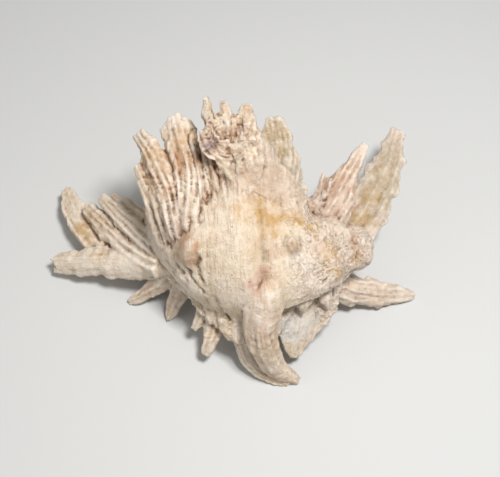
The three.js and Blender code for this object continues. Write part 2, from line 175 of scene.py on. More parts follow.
def axis_point(s):
    """The middle of the tube at s: straight along the axis, then bent down and to the far side."""
    s = np.asarray(s, dtype=float)[..., None]
    bend = smoothstep(s, CANAL_START, SHELL_LENGTH + 12.0)
    return SPIRE_TIP + AXIS * s - AXIS_UP * CANAL_DROP * bend + AXIS_SIDE * CANAL_SWING * bend


def place(s, radius, angle):
    """The point at a radius from the axis: up by its cosine and to the side by its sine."""
    a = np.radians(angle)[..., None]
    radius = np.asarray(radius, dtype=float)[..., None]
    return axis_point(s) + AXIS_UP * radius * np.cos(a) + AXIS_SIDE * radius * np.sin(a)


def shell_coordinates(points):
    """The distance along the axis, the radius and the angle of each point."""
    s = (points - SPIRE_TIP) @ AXIS
    out = points - axis_point(s)
    up = out @ AXIS_UP
    side = out @ AXIS_SIDE
    return s, np.hypot(up, side), np.degrees(np.arctan2(side, up))


print("end of the canal:", place(np.array(SHELL_LENGTH), 0.0, np.array(0.0)).round(1))

# %% Smooth random values
TABLE_SIZE = 4096
RANDOM_TABLE = np.random.default_rng(7).random(TABLE_SIZE)
# Large odd numbers that scatter the corners of the lattice over the table, and one for each salt.
SCATTER = (73856093, 19349663, 83492791)
SALT_STEP = 911


def value_noise(points, size, salt=0):
    """Smooth random values from 0 to 1: each corner of a lattice of cubes holds a random number, and
    a point takes the smooth mean of the eight corners around it."""
    scaled = np.asarray(points, dtype=float) / size
    cell = np.floor(scaled).astype(np.int64)
    t = scaled - cell
    t = t * t * (3.0 - 2.0 * t)
    total = np.zeros(scaled.shape[:-1])
    for corner in range(8):
        step = np.array([corner & 1, corner >> 1 & 1, corner >> 2 & 1])
        c = cell + step
        key = (c[..., 0] * SCATTER[0]) ^ (c[..., 1] * SCATTER[1]) ^ (c[..., 2] * SCATTER[2])
        weight = np.prod(np.where(step == 1, t, 1.0 - t), axis=-1)
        total += weight * RANDOM_TABLE[(key + salt * SALT_STEP) % TABLE_SIZE]
    return total


def rough_noise(points, size, layers=3, salt=0):
    """Layers of smooth random values about 0, each half the size and half the height of the last."""
    total = 0.0
    for layer in range(layers):
        total = total + (value_noise(points, size / 2**layer, salt + layer) - 0.5) / 2**layer
    return total * 2.0


def wobble(x, seed):
    """An uneven wave about 0, mostly between -1 and 1, and another one for each seed."""
    phase = np.random.default_rng(seed).random(3) * 2 * np.pi
    return (
        np.sin(x + phase[0]) + 0.7 * np.sin(1.9 * x + phase[1]) + 0.5 * np.sin(3.3 * x + phase[2])
    ) / 1.7


print("noise at one point:", rough_noise(np.array([[1.0, 2.0, 3.0]]), 5.0).round(3))

# %% [markdown]
# ## The whorls
#
# The tube of the shell keeps one outline while it grows, so a whorl is that outline carried around
# the axis and made larger by the same share for each degree. The radius of the surface is then a
# function of two parameters, the distance along the axis and the angle. Where two whorls overlap the
# outer one shows, which is the larger radius. A swept tube would show the same spiral, but the
# largest-radius rule closes the sutures by itself.

# %% Outlines of the whorls and the columella
LIP_ANGLE = 125.0
GROWTH = 1.55
LOST_TIP = 12.0
WHORLS = 5
WHORL_OUTLINE = [
    (56, 14), (70, 24), (75, 37), (83, 42), (93, 52), (102, 58),
    (118, 57), (138, 50), (153, 40), (163, 28), (170, 15), (176, 0),
]
CORE_OUTLINE = [
    (-6, 0), (-4, 8), (1, 12), (8, 14), (14, 21), (22, 24), (34, 22), (60, 14),
    (110, 12), (135, 12), (150, 10), (170, 8), (188, 7), (198, 6.5), (203, 0),
]
whorl_outline = curve_through(WHORL_OUTLINE)
core_outline = curve_through(CORE_OUTLINE)
print("outline points", len(WHORL_OUTLINE), "and", len(CORE_OUTLINE))

# %% The thickened stages
# Angle, rise, degrees over which it rises from the older side, and degrees of the step after it.
OLD_VARICES = [
    (125, 9, 26, 6), (-235, 5, 26, 14), (-300, 16, 32, 14), (-428, 7, 30, 14), (-512, 10, 30, 16),
]
# The last whorl's two upper varices stand free, so the height of the crest is given against s.
TOP_CREST = [
    (33, 32), (39, 47), (44, 56), (50, 65), (56, 78), (60, 86), (66, 88), (74, 84),
    (80, 67), (88, 57), (95, 55), (105, 53), (112, 47), (120, 38), (128, 28), (136, 16),
]
NEAR_CREST = [
    (30, 20), (36, 26), (45, 38), (55, 50), (66, 57), (76, 57), (85, 53), (98, 41),
    (105, 33), (112, 25), (122, 16),
]
# Angle, degrees of the wide rise and of the thin fin before it, degrees of the step after it, the
# share of the height that the thin fin has, and the heights.
CRESTS = [(30.0, 40.0, 17.0, 9.0, 0.7, TOP_CREST), (-106.0, 26.0, 26.0, 10.0, 0.0, NEAR_CREST)]
# Spiral cords, by their place on the whorl's own outline, with their width and height.
CORDS = [
    (88.6, 4.5, 1.6), (97.0, 2.6, 0.7), (106.0, 3.0, 0.9), (114.5, 2.6, 0.7), (122.5, 2.6, 0.8),
    (132.0, 4.0, 1.5), (139.5, 2.4, 0.7), (145.5, 3.2, 1.3), (151.5, 2.8, 1.2), (156.5, 2.6, 1.1),
]
THREAD_PITCH = 3.6
# The near side of the spire is swollen. Its radius against s.
SPIRE_SIDE = [
    (0, 6), (4, 12), (8, 17), (14, 24), (19, 29), (28, 36), (36, 40), (44, 43), (52, 44.5), (60, 44),
    (66, 40),
]


def spire_side_radius(s, angle):
    """The swollen side of the spire: a radius against s that sinks by an eighth towards the top, and
    the share of it that counts, 1 in the middle of that side and 0 away from it."""
    radius = curve_through(SPIRE_SIDE)(s) * (1.0 - 0.13 * smoothstep(angle, -70.0, -20.0))
    along = smoothstep(s, -1.0, 4.0) * (1.0 - smoothstep(s, 54.0, 68.0))
    about = smoothstep(angle, -87.0, -80.0) * (1.0 - smoothstep(angle, -15.0, 40.0))
    return radius, along * about


def one_sided_bell(off, before, after):
    """1 at the crest, falling slowly on the older side and fast on the younger side."""
    return np.exp(-1.6 * (off / np.where(off < 0, before, after)) ** 2)


def plain_radius(s, angle):
    """The radius of the outermost whorl or of the columella, with the older varices."""
    radius = core_outline(s)
    for whorl in range(WHORLS):
        turn = angle - 360.0 * whorl
        size = GROWTH ** ((turn - LIP_ANGLE) / 360.0)
        own = (s + LOST_TIP) / size
        flank = smoothstep(own, 52, 78) * (1.0 - smoothstep(own, 158, 172))
        rise = np.zeros_like(own)
        for at, height, before, after in OLD_VARICES:
            rise = np.maximum(rise, height * one_sided_bell(turn - at, before, after))
        whorl_radius = size * (whorl_outline(own) + rise * flank)
        on_whorl = (own >= WHORL_OUTLINE[0][0]) & (own <= WHORL_OUTLINE[-1][0])
        radius = np.where(on_whorl, np.maximum(radius, whorl_radius), radius)
    return radius


def shell_radius(s, angle):
    """The radius with the two free crests and the spiral cords, which are strongest near a crest."""
    radius = plain_radius(s, angle)
    side_radius, share = spire_side_radius(s, angle)
    radius = radius + np.maximum(side_radius - radius, 0.0) * share
    near_crest = np.zeros_like(radius)
    for at, wide, thin, after, thin_share, heights in CRESTS:
        crest = curve_through(heights)(s)
        foot = plain_radius(s, np.full_like(s, at))
        inside = smoothstep(s, heights[0][0] - 4, heights[0][0] + 3)
        inside = inside * (1.0 - smoothstep(s, heights[-1][0] - 2, heights[-1][0] + 5))
        wide_bell = one_sided_bell(angle - at, wide, after)
        thin_bell = one_sided_bell(angle - at, thin, after)
        share = thin_share * thin_bell + (1.0 - thin_share) * wide_bell
        radius = radius + np.maximum(crest - foot, 0.0) * inside * share
        near_crest = np.maximum(near_crest, wide_bell)
    size = GROWTH ** ((angle - LIP_ANGLE) / 360.0)
    own = (s + LOST_TIP) / size
    cord = sum(height * bell(own - at, width) for at, width, height in CORDS)
    threads = (0.08 + 0.4 * near_crest) * np.cos(own * 2.0 * np.pi / THREAD_PITCH)
    flank = smoothstep(own, 60, 76) * (1.0 - smoothstep(own, 160, 170))
    return radius + flank * (cord * (0.25 + 1.3 * near_crest) + threads)


print("radius on top:", float(shell_radius(np.array([70.0]), np.array([0.0]))[0]))

# %% Lumps, stumps and worn places on the whorls
# s, angle, half length along the axis, half width in degrees, rise. The first is the knob.
LUMPS = [
    (106, -26, 6.5, 11, 6.5),
    (109, -31, 3, 6, 1.6),
    (103, -20, 3.5, 6, 2.0),
    (97, -14, 6, 7, 1.5),
    (66, -62, 7, 12, 2.5),
    (5, -78, 3, 15, 3.0),
    (1, -12, 3, 16, 2.5),
    (9, 10, 3, 12, 2.5),
    (8, -40, 3, 12, 2.0),
    (7, 60, 6, 30, 3.0),
    (19, -58, 5, 20, 3.5),
    (24, -12, 3, 9, 1.5),
]
# The stump of a broken spine: s, angle, half length and half width in degrees, and its rise.
STUMP = (43.0, -24.0, 3.4, 7.0, 3.2)


def lump_rise(s, angle):
    """The sum of rounded lumps, each a bell along the axis and about it."""
    total = np.zeros_like(s)
    for at, about, along, width, rise in LUMPS:
        total += rise * bell(s - at, along) * bell(angle - about, width)
    return total


def stump_rise(s, angle):
    """A broken spine's stump: a raised oval plug with a shallow groove around it."""
    at, about, along, width, rise = STUMP
    from_middle = np.hypot((s - at) / along, (angle - about) / width)
    plug = rise * (1.0 - smoothstep(from_middle, 0.6, 1.35))
    return plug - 0.7 * bell(from_middle - 1.55, 0.3)


# Layers end along the left of the last whorl. Each line gives s against the angle, and its first
# values of s also choose how uneven it is.
LAYER_ENDS = [
    [(-104, 105), (-95, 107), (-75, 112), (-52, 115), (-36, 119)],
    [(-104, 83), (-95, 84), (-82, 86), (-62, 91), (-44, 98)],
    [(-104, 98), (-99, 99), (-71, 106), (-41, 110), (-24, 116)],
    [(-104, 91), (-95, 92), (-79, 94), (-55, 100), (-36, 107), (-24, 113)],
]


def layer_steps(s, angle):
    """Each layer ends in a small step down with a groove at its foot, and the surface rises slowly
    back beyond it. A low groove also runs along the rim of the spire."""
    total = np.zeros_like(s)
    shown = smoothstep(angle, -108.0, -98.0) * (1.0 - smoothstep(angle, -36.0, -22.0))
    for line in LAYER_ENDS:
        uneven = 1.6 * wobble(angle / 5.0, line[0][1]) * smoothstep(angle, -104.0, -90.0)
        beyond = s - curve_through(line)(angle) + uneven
        step = smoothstep(beyond, -0.3, 1.2) * (1.0 - smoothstep(beyond, 2.0, 11.0))
        strength = 0.75 + 0.5 * wobble(angle / 9.0, line[1][1] + 20)
        total -= shown * strength * (1.7 * step + 1.1 * bell(beyond - 1.2, 1.0))
    rim_line = 57.0 + 2.6 * wobble(angle / 7.0, 71)
    rim = bell(s - rim_line, 1.6) * smoothstep(angle, -56.0, -44.0)
    return total - 0.35 * rim * (1.0 - smoothstep(angle, -14.0, 2.0))


print("highest lump", max(lump[4] for lump in LUMPS), "mm")

# %% [markdown]
# ## Closed surfaces
#
# Every form is a grid of points, rings one after another, with a point at either end. The helper
# below turns a grid into faces that look outwards, and the body is the first form made with it.
# All forms are collected first, and later become one skin, because the real shell grew as one piece.

# %% A closed surface from rings
forms = []


def ring_surface(rings, first, last):
    """Points and faces of a closed surface: quads between the rings and a fan at either end."""
    count, around = rings.shape[:2]
    points = np.vstack([first[None], rings.reshape(-1, 3), last[None]])
    here = np.arange(around)
    beside = (here + 1) % around
    ring = np.arange(count - 1)[:, None] * around + 1
    after = ring + around
    quads = np.stack([ring + here, ring + beside, after + beside, after + here], axis=-1)
    quads = quads.reshape(-1, 4)
    start_fan = np.stack([np.zeros_like(here), beside + 1, here + 1], axis=-1)
    end_ring = (count - 1) * around + 1
    end = np.full_like(here, end_ring + around)
    end_fan = np.stack([end, end_ring + here, end_ring + beside], axis=-1)
    triangles = np.vstack([start_fan, end_fan, quads[:, [0, 1, 2]], quads[:, [0, 2, 3]]])
    corner = points[triangles]
    volume = np.einsum("ij,ij->i", corner[:, 0], np.cross(corner[:, 1], corner[:, 2])).sum()
    return points, triangles if volume > 0 else triangles[:, ::-1]


def body_rings(rows, columns):
    """The whorls as rings of constant s, with the step of the outer lip where each ring closes."""
    s = np.linspace(-5.0, SHELL_LENGTH - 1.5, rows)[:, None] + np.zeros(columns)
    angle = np.linspace(LIP_ANGLE - 360.0, LIP_ANGLE, columns)[None] + np.zeros((rows, 1))
    radius = shell_radius(s, angle) + lump_rise(s, angle)
    radius = radius + stump_rise(s, angle) + layer_steps(s, angle)
    return place(s, np.maximum(radius, 0.5), angle)


body = body_rings(rows=320, columns=420)
forms.append(ring_surface(body, axis_point(-6.0), axis_point(SHELL_LENGTH)))
print("body points", len(forms[0][0]))

# %% [markdown]
# ## The fronds
#
# On the animal's growing edge each frond was a fold of the lip, so it is a flat blade that is cupped
# across, ribbed along and toothed at its edges. It is swept along a curve through a few points.
# The cross section is a flattened ellipse whose halves are bent forward, and its width and thickness
# change from root to tip. A curve with a bevel keeps one section and only scales it, so it can't.

# %% A path with even steps
def smooth_path(points, steps):
    """Even steps along the curve that runs through the points, each stretch bent by its neighbours,
    with the directions along it."""
    p = np.array(points, dtype=float)
    p = np.vstack([2 * p[0] - p[1], p, 2 * p[-1] - p[-2]])
    t = np.linspace(0, len(p) - 3 - 1e-9, 400)
    i = t.astype(int)
    f = (t - i)[:, None]
    a, b, c, d = p[i], p[i + 1], p[i + 2], p[i + 3]
    dense = 0.5 * (
        2 * b + (c - a) * f + (2 * a - 5 * b + 4 * c - d) * f**2 + (3 * b - a - 3 * c + d) * f**3
    )
    length = np.r_[0, np.cumsum(np.linalg.norm(np.diff(dense, axis=0), axis=1))]
    even = np.linspace(0, length[-1], steps)
    middle = np.stack([np.interp(even, length, dense[:, axis]) for axis in range(3)], axis=-1)
    along = np.gradient(middle, axis=0)
    along /= np.linalg.norm(along, axis=1)[:, None]
    return middle, along, length[-1]


def unit(vectors):
    """Each vector at length 1."""
    return vectors / np.linalg.norm(vectors, axis=-1, keepdims=True)


print("length of a straight path:", smooth_path([(0, 0, 0), (5, 0, 0), (10, 0, 0)], 5)[2].round(3))

# %% One frond
FROND_STEPS = 56
FROND_AROUND = 44
TOOTH_PITCH = 3.2
RIB_SHARE = 0.26
TO_VIEWER = (0.0, -0.5, 0.87)
UP = (0.0, 0.0, 1.0)
frond_lines = []


def frond(
    path, half_width, thickness, face=TO_VIEWER, cup=0.0, ribs=2, notch=0.12, ragged=0.35,
    relief=1.0, seed=1,
):
    """A blade along a path: across it runs side, from -1 to 1, and around it the angle a. The blade
    is as wide as its half widths times a toothed wave, its halves bend forward by cup times side
    squared, and its thickness swells and shrinks across as its ribs. The tip is drawn out unevenly.
    Its line is kept too, for the relief of the surface: at each step the middle, the length so far,
    the whole length, the half width, the direction across and the strength of the relief."""
    middle, along, length = smooth_path(path, FROND_STEPS)
    t = np.linspace(0, 1, FROND_STEPS)
    across = unit(np.cross(along, unit(np.array(face, dtype=float))))
    out = unit(np.cross(across, along))
    even = np.linspace(0, 1, len(half_width))
    width = curve_through(list(zip(even, half_width)))(t)[:, None]
    even = np.linspace(0, 1, len(thickness))
    depth = curve_through(list(zip(even, thickness)))(t)[:, None]
    a = np.linspace(0, 2 * np.pi, FROND_AROUND, endpoint=False)[None]
    side = np.sign(np.cos(a)) * np.abs(np.cos(a)) ** 0.8
    free = smoothstep(t, 0.25, 0.6)[:, None]
    left = wobble(t * length / TOOTH_PITCH, seed)[:, None]
    right = wobble(t * length / TOOTH_PITCH, seed + 50)[:, None]
    tooth = 1.0 + notch * free * np.where(side < 0, left, right)
    rib = 1.0 + RIB_SHARE * np.cos(ribs * np.pi * side + 0.35 * left) * (1.0 - side**6)
    drawn = ragged * width * wobble(side * 4.0 + 0.2 * left, seed + 90) * smoothstep(t, 0.72, 1)[:, None]
    rings = (
        middle[:, None]
        + across[:, None] * (side * width * tooth)[..., None]
        + out[:, None] * (np.sin(a) * rib * depth + cup * side**2 * width)[..., None]
        + along[:, None] * drawn[..., None]
    )
    forms.append(ring_surface(rings, middle[0] - along[0], middle[-1] + along[-1]))
    lengths = np.full(FROND_STEPS, length)
    reliefs = np.full(FROND_STEPS, relief)
    frond_lines.append(np.column_stack([middle, t * length, lengths, width[:, 0], across, reliefs]))


print("points of a frond", FROND_STEPS * FROND_AROUND + 2)

# %% [markdown]
# ### Fronds of the varix along the top
#
# Four ribbed fronds lean back between the canal and the shoulder. Next to them stands the high
# broken crest. Its broad blade alone would look like one more frond, so smaller blades are laid
# against it: a leaf that curls forward to a point, the rim of a hollow, and lobes of its worn top.

# %% Top fronds
# The four ribbed fronds, from the canal to the shoulder.
frond(
    [(-50, -14, 50), (-53, -12, 69), (-58, 0, 83), (-64, 13, 92), (-69, 23, 93)],
    [6, 5.6, 4.8, 2.2], [5, 4, 3, 1.6], cup=-0.35, seed=1,
)
frond(
    [(-46, -14, 55), (-49, -13, 77), (-55, 3, 90), (-65, 27, 94)],
    [6, 5.8, 5, 2.4], [5, 4.4, 3.4, 1.6], cup=-0.35, seed=2,
)
frond(
    [(-42, -14, 60), (-44, -14, 83), (-50, 7, 96), (-60, 30, 99), (-68, 43, 98)],
    [6, 7, 7.6, 7.5, 4.5], [3, 4.8, 3.8, 2], cup=-0.32, ribs=3, notch=0.1, seed=3,
)
frond(
    [(-34, -12, 66), (-38, -12, 86), (-36, 10, 99), (-46, 49, 106)],
    [8, 9.4, 10.2, 10.6], [3, 5.4, 4.4, 2.4], cup=-0.28, ribs=3, notch=0.08, seed=4,
)
# A thin rib beside the fourth.
frond(
    [(-22, -8, 80), (-28, 2, 92), (-30, 16, 99), (-34, 32, 103)],
    [3, 4, 3.6, 2.4], [3, 3.6, 3.2, 2], cup=-0.3, ribs=1, seed=28,
)
# The torn rim of the crest's hollow.
frond(
    [(-8, 16, 106), (-15, 19, 112), (-22, 22, 117), (-26, 28, 123)],
    [7, 7.5, 7, 4], [4, 3.4, 2.8, 2], (-0.1, -0.6, 0.8), cup=0.55, ribs=1, notch=0.2,
    ragged=0.6, relief=1.3, seed=29,
)
# The broad blade of the crest.
frond(
    [(5, 0, 62), (-1, 7, 88), (-6, 17, 105), (-8, 27, 115), (-8, 38, 122)],
    [12, 13, 14, 13, 12, 11], [4, 5, 5, 5, 4.5, 3], cup=0.16, ribs=5, ragged=0.2,
    relief=1.2, seed=5,
)
# The leaf along its left edge.
frond(
    [(-8, 12, 101), (-15, 20, 110), (-21, 29, 118), (-26, 45, 131)],
    [8, 7, 5.5, 1.4], [5, 4, 3, 1.4], (0.5, -0.5, 0.7), cup=0.35, ragged=0.2, seed=6,
)
# The cupped blade that lies in front of it.
frond(
    [(4, 10, 84), (0, 11, 94), (-4, 14, 104), (-8, 21, 113)],
    [5, 7, 11, 9], [4, 4, 4, 3], cup=0.4, ribs=1, notch=0.15, ragged=0.3, seed=27,
)
# The short blade that fills the gap beside the fourth frond.
frond(
    [(-16, -6, 80), (-20, 8, 94), (-23, 20, 102), (-25, 29, 106)],
    [8, 8.5, 7, 4], [5, 5, 4, 2.4], cup=-0.3, ribs=3, seed=44,
)
# Two lobes of its worn top.
frond(
    [(-9, 28, 114), (-14, 35, 121), (-16, 44, 129)],
    [6, 5, 2.6], [4, 3.4, 1.8], seed=7,
)
frond(
    [(-5, 28, 114), (-3, 36, 121), (-2, 43, 128)],
    [6, 5.5, 3.2], [4, 3.4, 2], seed=8,
)
print("forms so far", len(forms))

# %% [markdown]
# ### Fronds of the outer lip and of the spire
#
# Behind the shell the outer lip rises as a broad ribbed frill and a long blade. Two spines of the
# whorl before stand on the spire, and a third runs down to the right, low over the ground.

# %% Lip and spire fronds
frond(
    [(12, 14, 24), (14, 46, 30), (17, 70, 42), (15, 86, 57)],
    [20, 25, 22, 14, 6], [6, 5, 4, 3, 1.6], (0, -0.75, 0.66),
    cup=0.12, ribs=7, notch=0.12, ragged=0.3, relief=1.1, seed=9,
)
frond(
    [(30, 22, 18), (52, 13, 23), (67, 19, 26), (81, 38, 31), (92, 60, 36), (101, 88, 40)],
    [12, 15, 16.5, 14, 10, 4.5], [6, 5, 4, 3.4, 2.6, 1.4], UP, cup=0.12, ribs=3, notch=0.17,
    relief=0.4, seed=10,
)
frond(
    [(38, -8, 52), (44, 2, 62), (50, 9, 69), (60, 24, 81), (71, 42, 88)],
    [18, 17, 11, 6, 2.2], [8, 7, 5.5, 3.6, 1.6], cup=0.1, ribs=3, seed=11,
)
frond(
    [(38, -2, 62), (42, 12, 72), (45, 26, 81)],
    [5, 4, 1.2], [4, 3, 1.2], seed=12,
)
frond(
    [(44, -14, 40), (50, -20, 28), (66, -22, 17), (90, -21, 8), (109, -18, 1.6)],
    [9, 10.5, 10, 7.5, 2.5], [7, 6.5, 5, 3.2, 2.6], cup=-0.1, ribs=3, notch=0.14, seed=13,
)
print("forms so far", len(forms))

# %% [markdown]
# ### Spines of the near varix
#
# The varix on the near side carries short spines, and the first is a long one that curves down in
# front. Where a tip would go below the ground, the points of the skin are later set on to it.

# %% Near spines
frond(
    [
        (17, -40, 68), (10, -54, 64), (7, -64, 50), (9, -71, 34), (14, -75, 19), (21, -77, 9),
        (30, -79, 1.4),
    ],
    [11, 12, 12, 10, 8, 6.5, 2.6], [5, 6, 6.5, 6, 5, 4, 2.6], (0.1, -0.7, 0.7),
    cup=-0.28, ribs=1, notch=0.05, seed=14,
)
frond(
    [(-4, -32, 44), (-5, -55, 30), (-2, -67, 15), (8, -75, 6), (24, -81, 1.4)],
    [8, 7.5, 6.5, 5.5, 2], [6, 5, 4, 3, 1.8], (-0.3, -0.6, 0.74), cup=-0.1, notch=0.06, seed=15,
)
frond(
    [(29, -16, 48), (33, -34, 37), (31, -47, 27), (28, -58, 18), (29, -66, 11)],
    [20, 25, 21, 13, 3.5], [8, 7, 5, 4, 2], (0.35, -0.75, 0.55), cup=0.26, ribs=1, notch=0.08,
    relief=0.5, seed=16,
)
frond(
    [(30, -34, 54), (33, -45, 50), (33, -50, 41)],
    [9, 7, 1.6], [4, 3.4, 1.6], (0.2, -0.8, 0.5), ribs=1, notch=0.15, seed=40,
)
frond(
    [(42, -30, 50), (47, -40, 44), (49, -44, 35)],
    [8, 5.5, 1.4], [4, 3.2, 1.4], (0.3, -0.8, 0.5), ribs=1, notch=0.15, seed=41,
)
frond(
    [(46, -26, 60), (53, -35, 58), (55, -38, 51)],
    [7, 5, 1.6], [4, 3, 1.4], (0.5, -0.6, 0.6), ribs=1, seed=42,
)
frond(
    [(-16, -30, 38), (-20, -46, 29), (-24, -56, 20), (-28, -65, 12)],
    [10, 9, 6.5, 2.4], [6, 5, 3.6, 1.6], cup=-0.15, ribs=3, seed=17,
)
frond(
    [(-22, -28, 36), (-27, -42, 28), (-36, -51, 18)],
    [8, 6, 2.2], [5, 4, 1.6], seed=18,
)
frond(
    [(-36, -16, 34), (-43, -23, 24), (-49, -30, 12), (-54, -37, 1.6)],
    [7, 6.5, 5, 2.2], [5, 4.5, 3.4, 1.8], cup=-0.15, seed=19,
)
frond(
    [(-46, -12, 34), (-56, -18, 23), (-67, -21, 11), (-80, -23, 1.6)],
    [7, 6.5, 5, 2.2], [5, 4.5, 3.4, 1.8], cup=-0.15, seed=20,
)
frond(
    [(-56, -9, 30), (-66, -10, 22), (-78, -11, 13)],
    [6, 5, 2.6], [4, 3.4, 1.6], seed=21,
)
print("forms so far", len(forms))

# %% [markdown]
# ### Ends of the earlier canals
#
# Each time the animal grew a new lip it also turned its canal a little, and the old ends stayed
# beside the new one like fingers. The first blade is a broad sheet that lies along the canal.

# %% Canal fingers
frond(
    [(-60, -10, 34), (-85, -6, 26), (-108, -3, 19), (-129, 0, 12)],
    [12, 12, 9.5, 6.5], [7, 6, 5, 3], cup=-0.2, ribs=1, ragged=0.5, relief=0.6, seed=43,
)
frond(
    [(-90, -2, 20), (-101, 10, 18), (-115, 30, 14), (-128, 59, 11)],
    [9, 9, 8.5, 4], [6, 5, 4, 2.2], UP, cup=0.2, seed=22,
)
frond(
    [(-56, -16, 40), (-72, -4, 35), (-90, 13, 31), (-110, 36, 24)],
    [9, 9.5, 8, 4.5], [7, 6, 4.6, 2.4], cup=-0.2, ribs=3, seed=23,
)
frond(
    [(-54, -10, 44), (-66, 0, 44), (-81, 16, 41), (-98, 36, 36)],
    [8, 7.5, 6.5, 3], [6, 5.5, 4, 2], cup=-0.2, ribs=3, seed=24,
)
frond(
    [(-54, -4, 42), (-66, 8, 42), (-80, 25, 37), (-92, 40, 32)],
    [8, 7, 5.5, 2.4], [6, 5, 3.6, 1.8], cup=-0.15, seed=25,
)
frond(
    [(-54, 2, 40), (-64, 14, 36), (-76, 30, 29), (-85, 44, 23)],
    [8, 6.5, 5, 2], [6, 5, 3.6, 1.6], seed=26,
)
print("forms so far", len(forms))

# %% [markdown]
# ### Spines of the outer lip
#
# Below and behind, the lip has a row of spines that point down and out. Their places follow from the
# radius of the lip itself, and every other one is long enough to reach the ground.

# %% Lip spines
LIP_SPINES = 6
FIRST_SPINE = 64.0
SPINE_PITCH = 14.5
BELOW_GROUND = -1.0
SHORT_OF_GROUND = 5.0
DOWN_AND_BACK = (0, -0.57, -0.82)


def lip_radius(s):
    """The radius of the lip's edge at one s."""
    return float(plain_radius(np.array([s]), np.array([LIP_ANGLE - 1.0]))[0])


for number in range(LIP_SPINES):
    s = FIRST_SPINE + SPINE_PITCH * number
    edge = lip_radius(s)
    end_height = BELOW_GROUND if number % 2 == 0 else SHORT_OF_GROUND
    outside = place(s + 4.0, edge + 10.0, np.array(LIP_ANGLE - 1.0))
    outward = outside - axis_point(s + 4.0)
    spine_end = outside + outward * (end_height - outside[2]) / outward[2]
    root = place(s, edge - 14.0, np.array(LIP_ANGLE - 8.0))
    shoulder = place(s + 1.0, edge, np.array(LIP_ANGLE - 1.0))
    frond(
        [root, shoulder, spine_end], [9, 7, 2.8], [5, 3.6, 2], DOWN_AND_BACK,
        cup=0.2, ribs=3, ragged=0.2, seed=30 + number,
    )
print("forms in all", len(forms))

# %% [markdown]
# ## One skin
#
# A voxel remesh turns all overlapping closed forms into one skin, as the real shell is. Booleans
# between all of them would also do it, but they leave sharp creases where the fronds leave the
# whorls, and the remesh softens them as growth and the sea did. The living chamber and the slit of
# the canal are then cut away from that skin.

# %% Join all forms and remesh them
def new_mesh(name, points, faces):
    """A mesh from points in millimetres and triangles, written as whole arrays."""
    mesh = bpy.data.meshes.new(name)
    mesh.vertices.add(len(points))
    mesh.vertices.foreach_set("co", ((points + TO_MIDDLE) * MM).astype(np.float32).ravel())
    mesh.loops.add(len(faces) * 3)
    mesh.loops.foreach_set("vertex_index", faces.astype(np.int32).ravel())
    mesh.polygons.add(len(faces))
    mesh.polygons.foreach_set("loop_start", np.arange(len(faces), dtype=np.int32) * 3)
    mesh.update(calc_edges=True)
    mesh.validate()
    return mesh


def joined(parts):
    """Several closed surfaces as one list of points and one of faces."""
    starts = np.r_[0, np.cumsum([len(points) for points, _ in parts])[:-1]]
    points = np.vstack([points for points, _ in parts])
    return points, np.vstack([faces + start for (_, faces), start in zip(parts, starts)])


def apply_modifiers(thing):
    """Keeps what the modifiers made as the mesh itself."""
    depsgraph = bpy.context.evaluated_depsgraph_get()
    made = bpy.data.meshes.new_from_object(thing.evaluated_get(depsgraph))
    thing.modifiers.clear()
    thing.data = made


VOXEL = 0.85
shell = bpy.data.objects.new("murex_shell", new_mesh("murex_shell", *joined(forms)))
bpy.context.scene.collection.objects.link(shell)
remesh = shell.modifiers.new("one skin", "REMESH")
remesh.mode = "VOXEL"
remesh.voxel_size = VOXEL * MM
apply_modifiers(shell)
print("skin faces", len(shell.data.polygons))

# %% The hollows to cut
CHAMBER_STEPS = 13.0
CHAMBER_TURN = 190.0
CHAMBER_PAST_LIP = 9.0
# Place and half length along the last whorl's own outline, then middle radius and half height.
CHAMBER_SECTION = (117.0, 27.0, 36.0, 13.5)
SLIT_START = 138.0
SLIT_END = 208.0
SLIT_ANGLE = 165.0


def chamber_rings():
    """The living chamber: an oval carried back from the aperture inside the last whorl. It shrinks as
    the whorl does, and closes by another third near its end."""
    along, half_length, out, half_height = CHAMBER_SECTION
    steps = np.arange(0, CHAMBER_STEPS + 0.01, 0.25)[:, None]
    angle = LIP_ANGLE + CHAMBER_PAST_LIP - steps / CHAMBER_STEPS * CHAMBER_TURN
    closing = 1.0 - 0.35 * smoothstep(steps, 8.0, CHAMBER_STEPS)
    size = GROWTH ** ((angle - LIP_ANGLE) / 360.0) * closing
    a = np.linspace(0, 2 * np.pi, 64, endpoint=False)[None]
    s = size * (along + half_length * np.cos(a)) - LOST_TIP
    return place(s, size * (out + half_height * np.sin(a)), angle + 0.0 * a)


def slit_rings():
    """The slit under the canal: a narrow wedge along it, four corners to a ring."""
    s = np.linspace(SLIT_START, SLIT_END, 30)[:, None]
    radius = np.array([[3.5, 3.5, 22.0, 22.0]])
    angle = SLIT_ANGLE + np.array([[14.0, -14.0, -5.0, 5.0]])
    return place(s + 0.0 * radius, radius + 0.0 * s, angle + 0.0 * s)


def cut(thing, rings, name):
    """Takes a closed surface of rings away from the skin."""
    points, faces = ring_surface(rings, rings[0].mean(axis=0), rings[-1].mean(axis=0))
    cutter = bpy.data.objects.new(name, new_mesh(name, points, faces))
    bpy.context.scene.collection.objects.link(cutter)
    boolean = thing.modifiers.new(name, "BOOLEAN")
    boolean.operation = "DIFFERENCE"
    boolean.solver = "MANIFOLD"
    boolean.object = cutter
    apply_modifiers(thing)
    bpy.data.objects.remove(cutter)


cut(shell, chamber_rings(), "living chamber")
cut(shell, slit_rings(), "slit of the canal")
print("faces after the cuts", len(shell.data.polygons))

# %% [markdown]
# ## Relief of the surface
#
# The real surface is worn chalk: growth layers on the fronds, a rough and pitted spire, and smoother
# whorls. Each is a height that depends on where the point is, and the skin is moved along its own
# normals by their sum. A displacement texture would do the same, but whole arrays can use the
# shell's own coordinates, so the layers follow the fronds and the whorls. Points that would end
# below the ground are set on to it. Then the skin is thinned to the triangles that it may have, and
# the tiny pieces that came loose from it are left out.

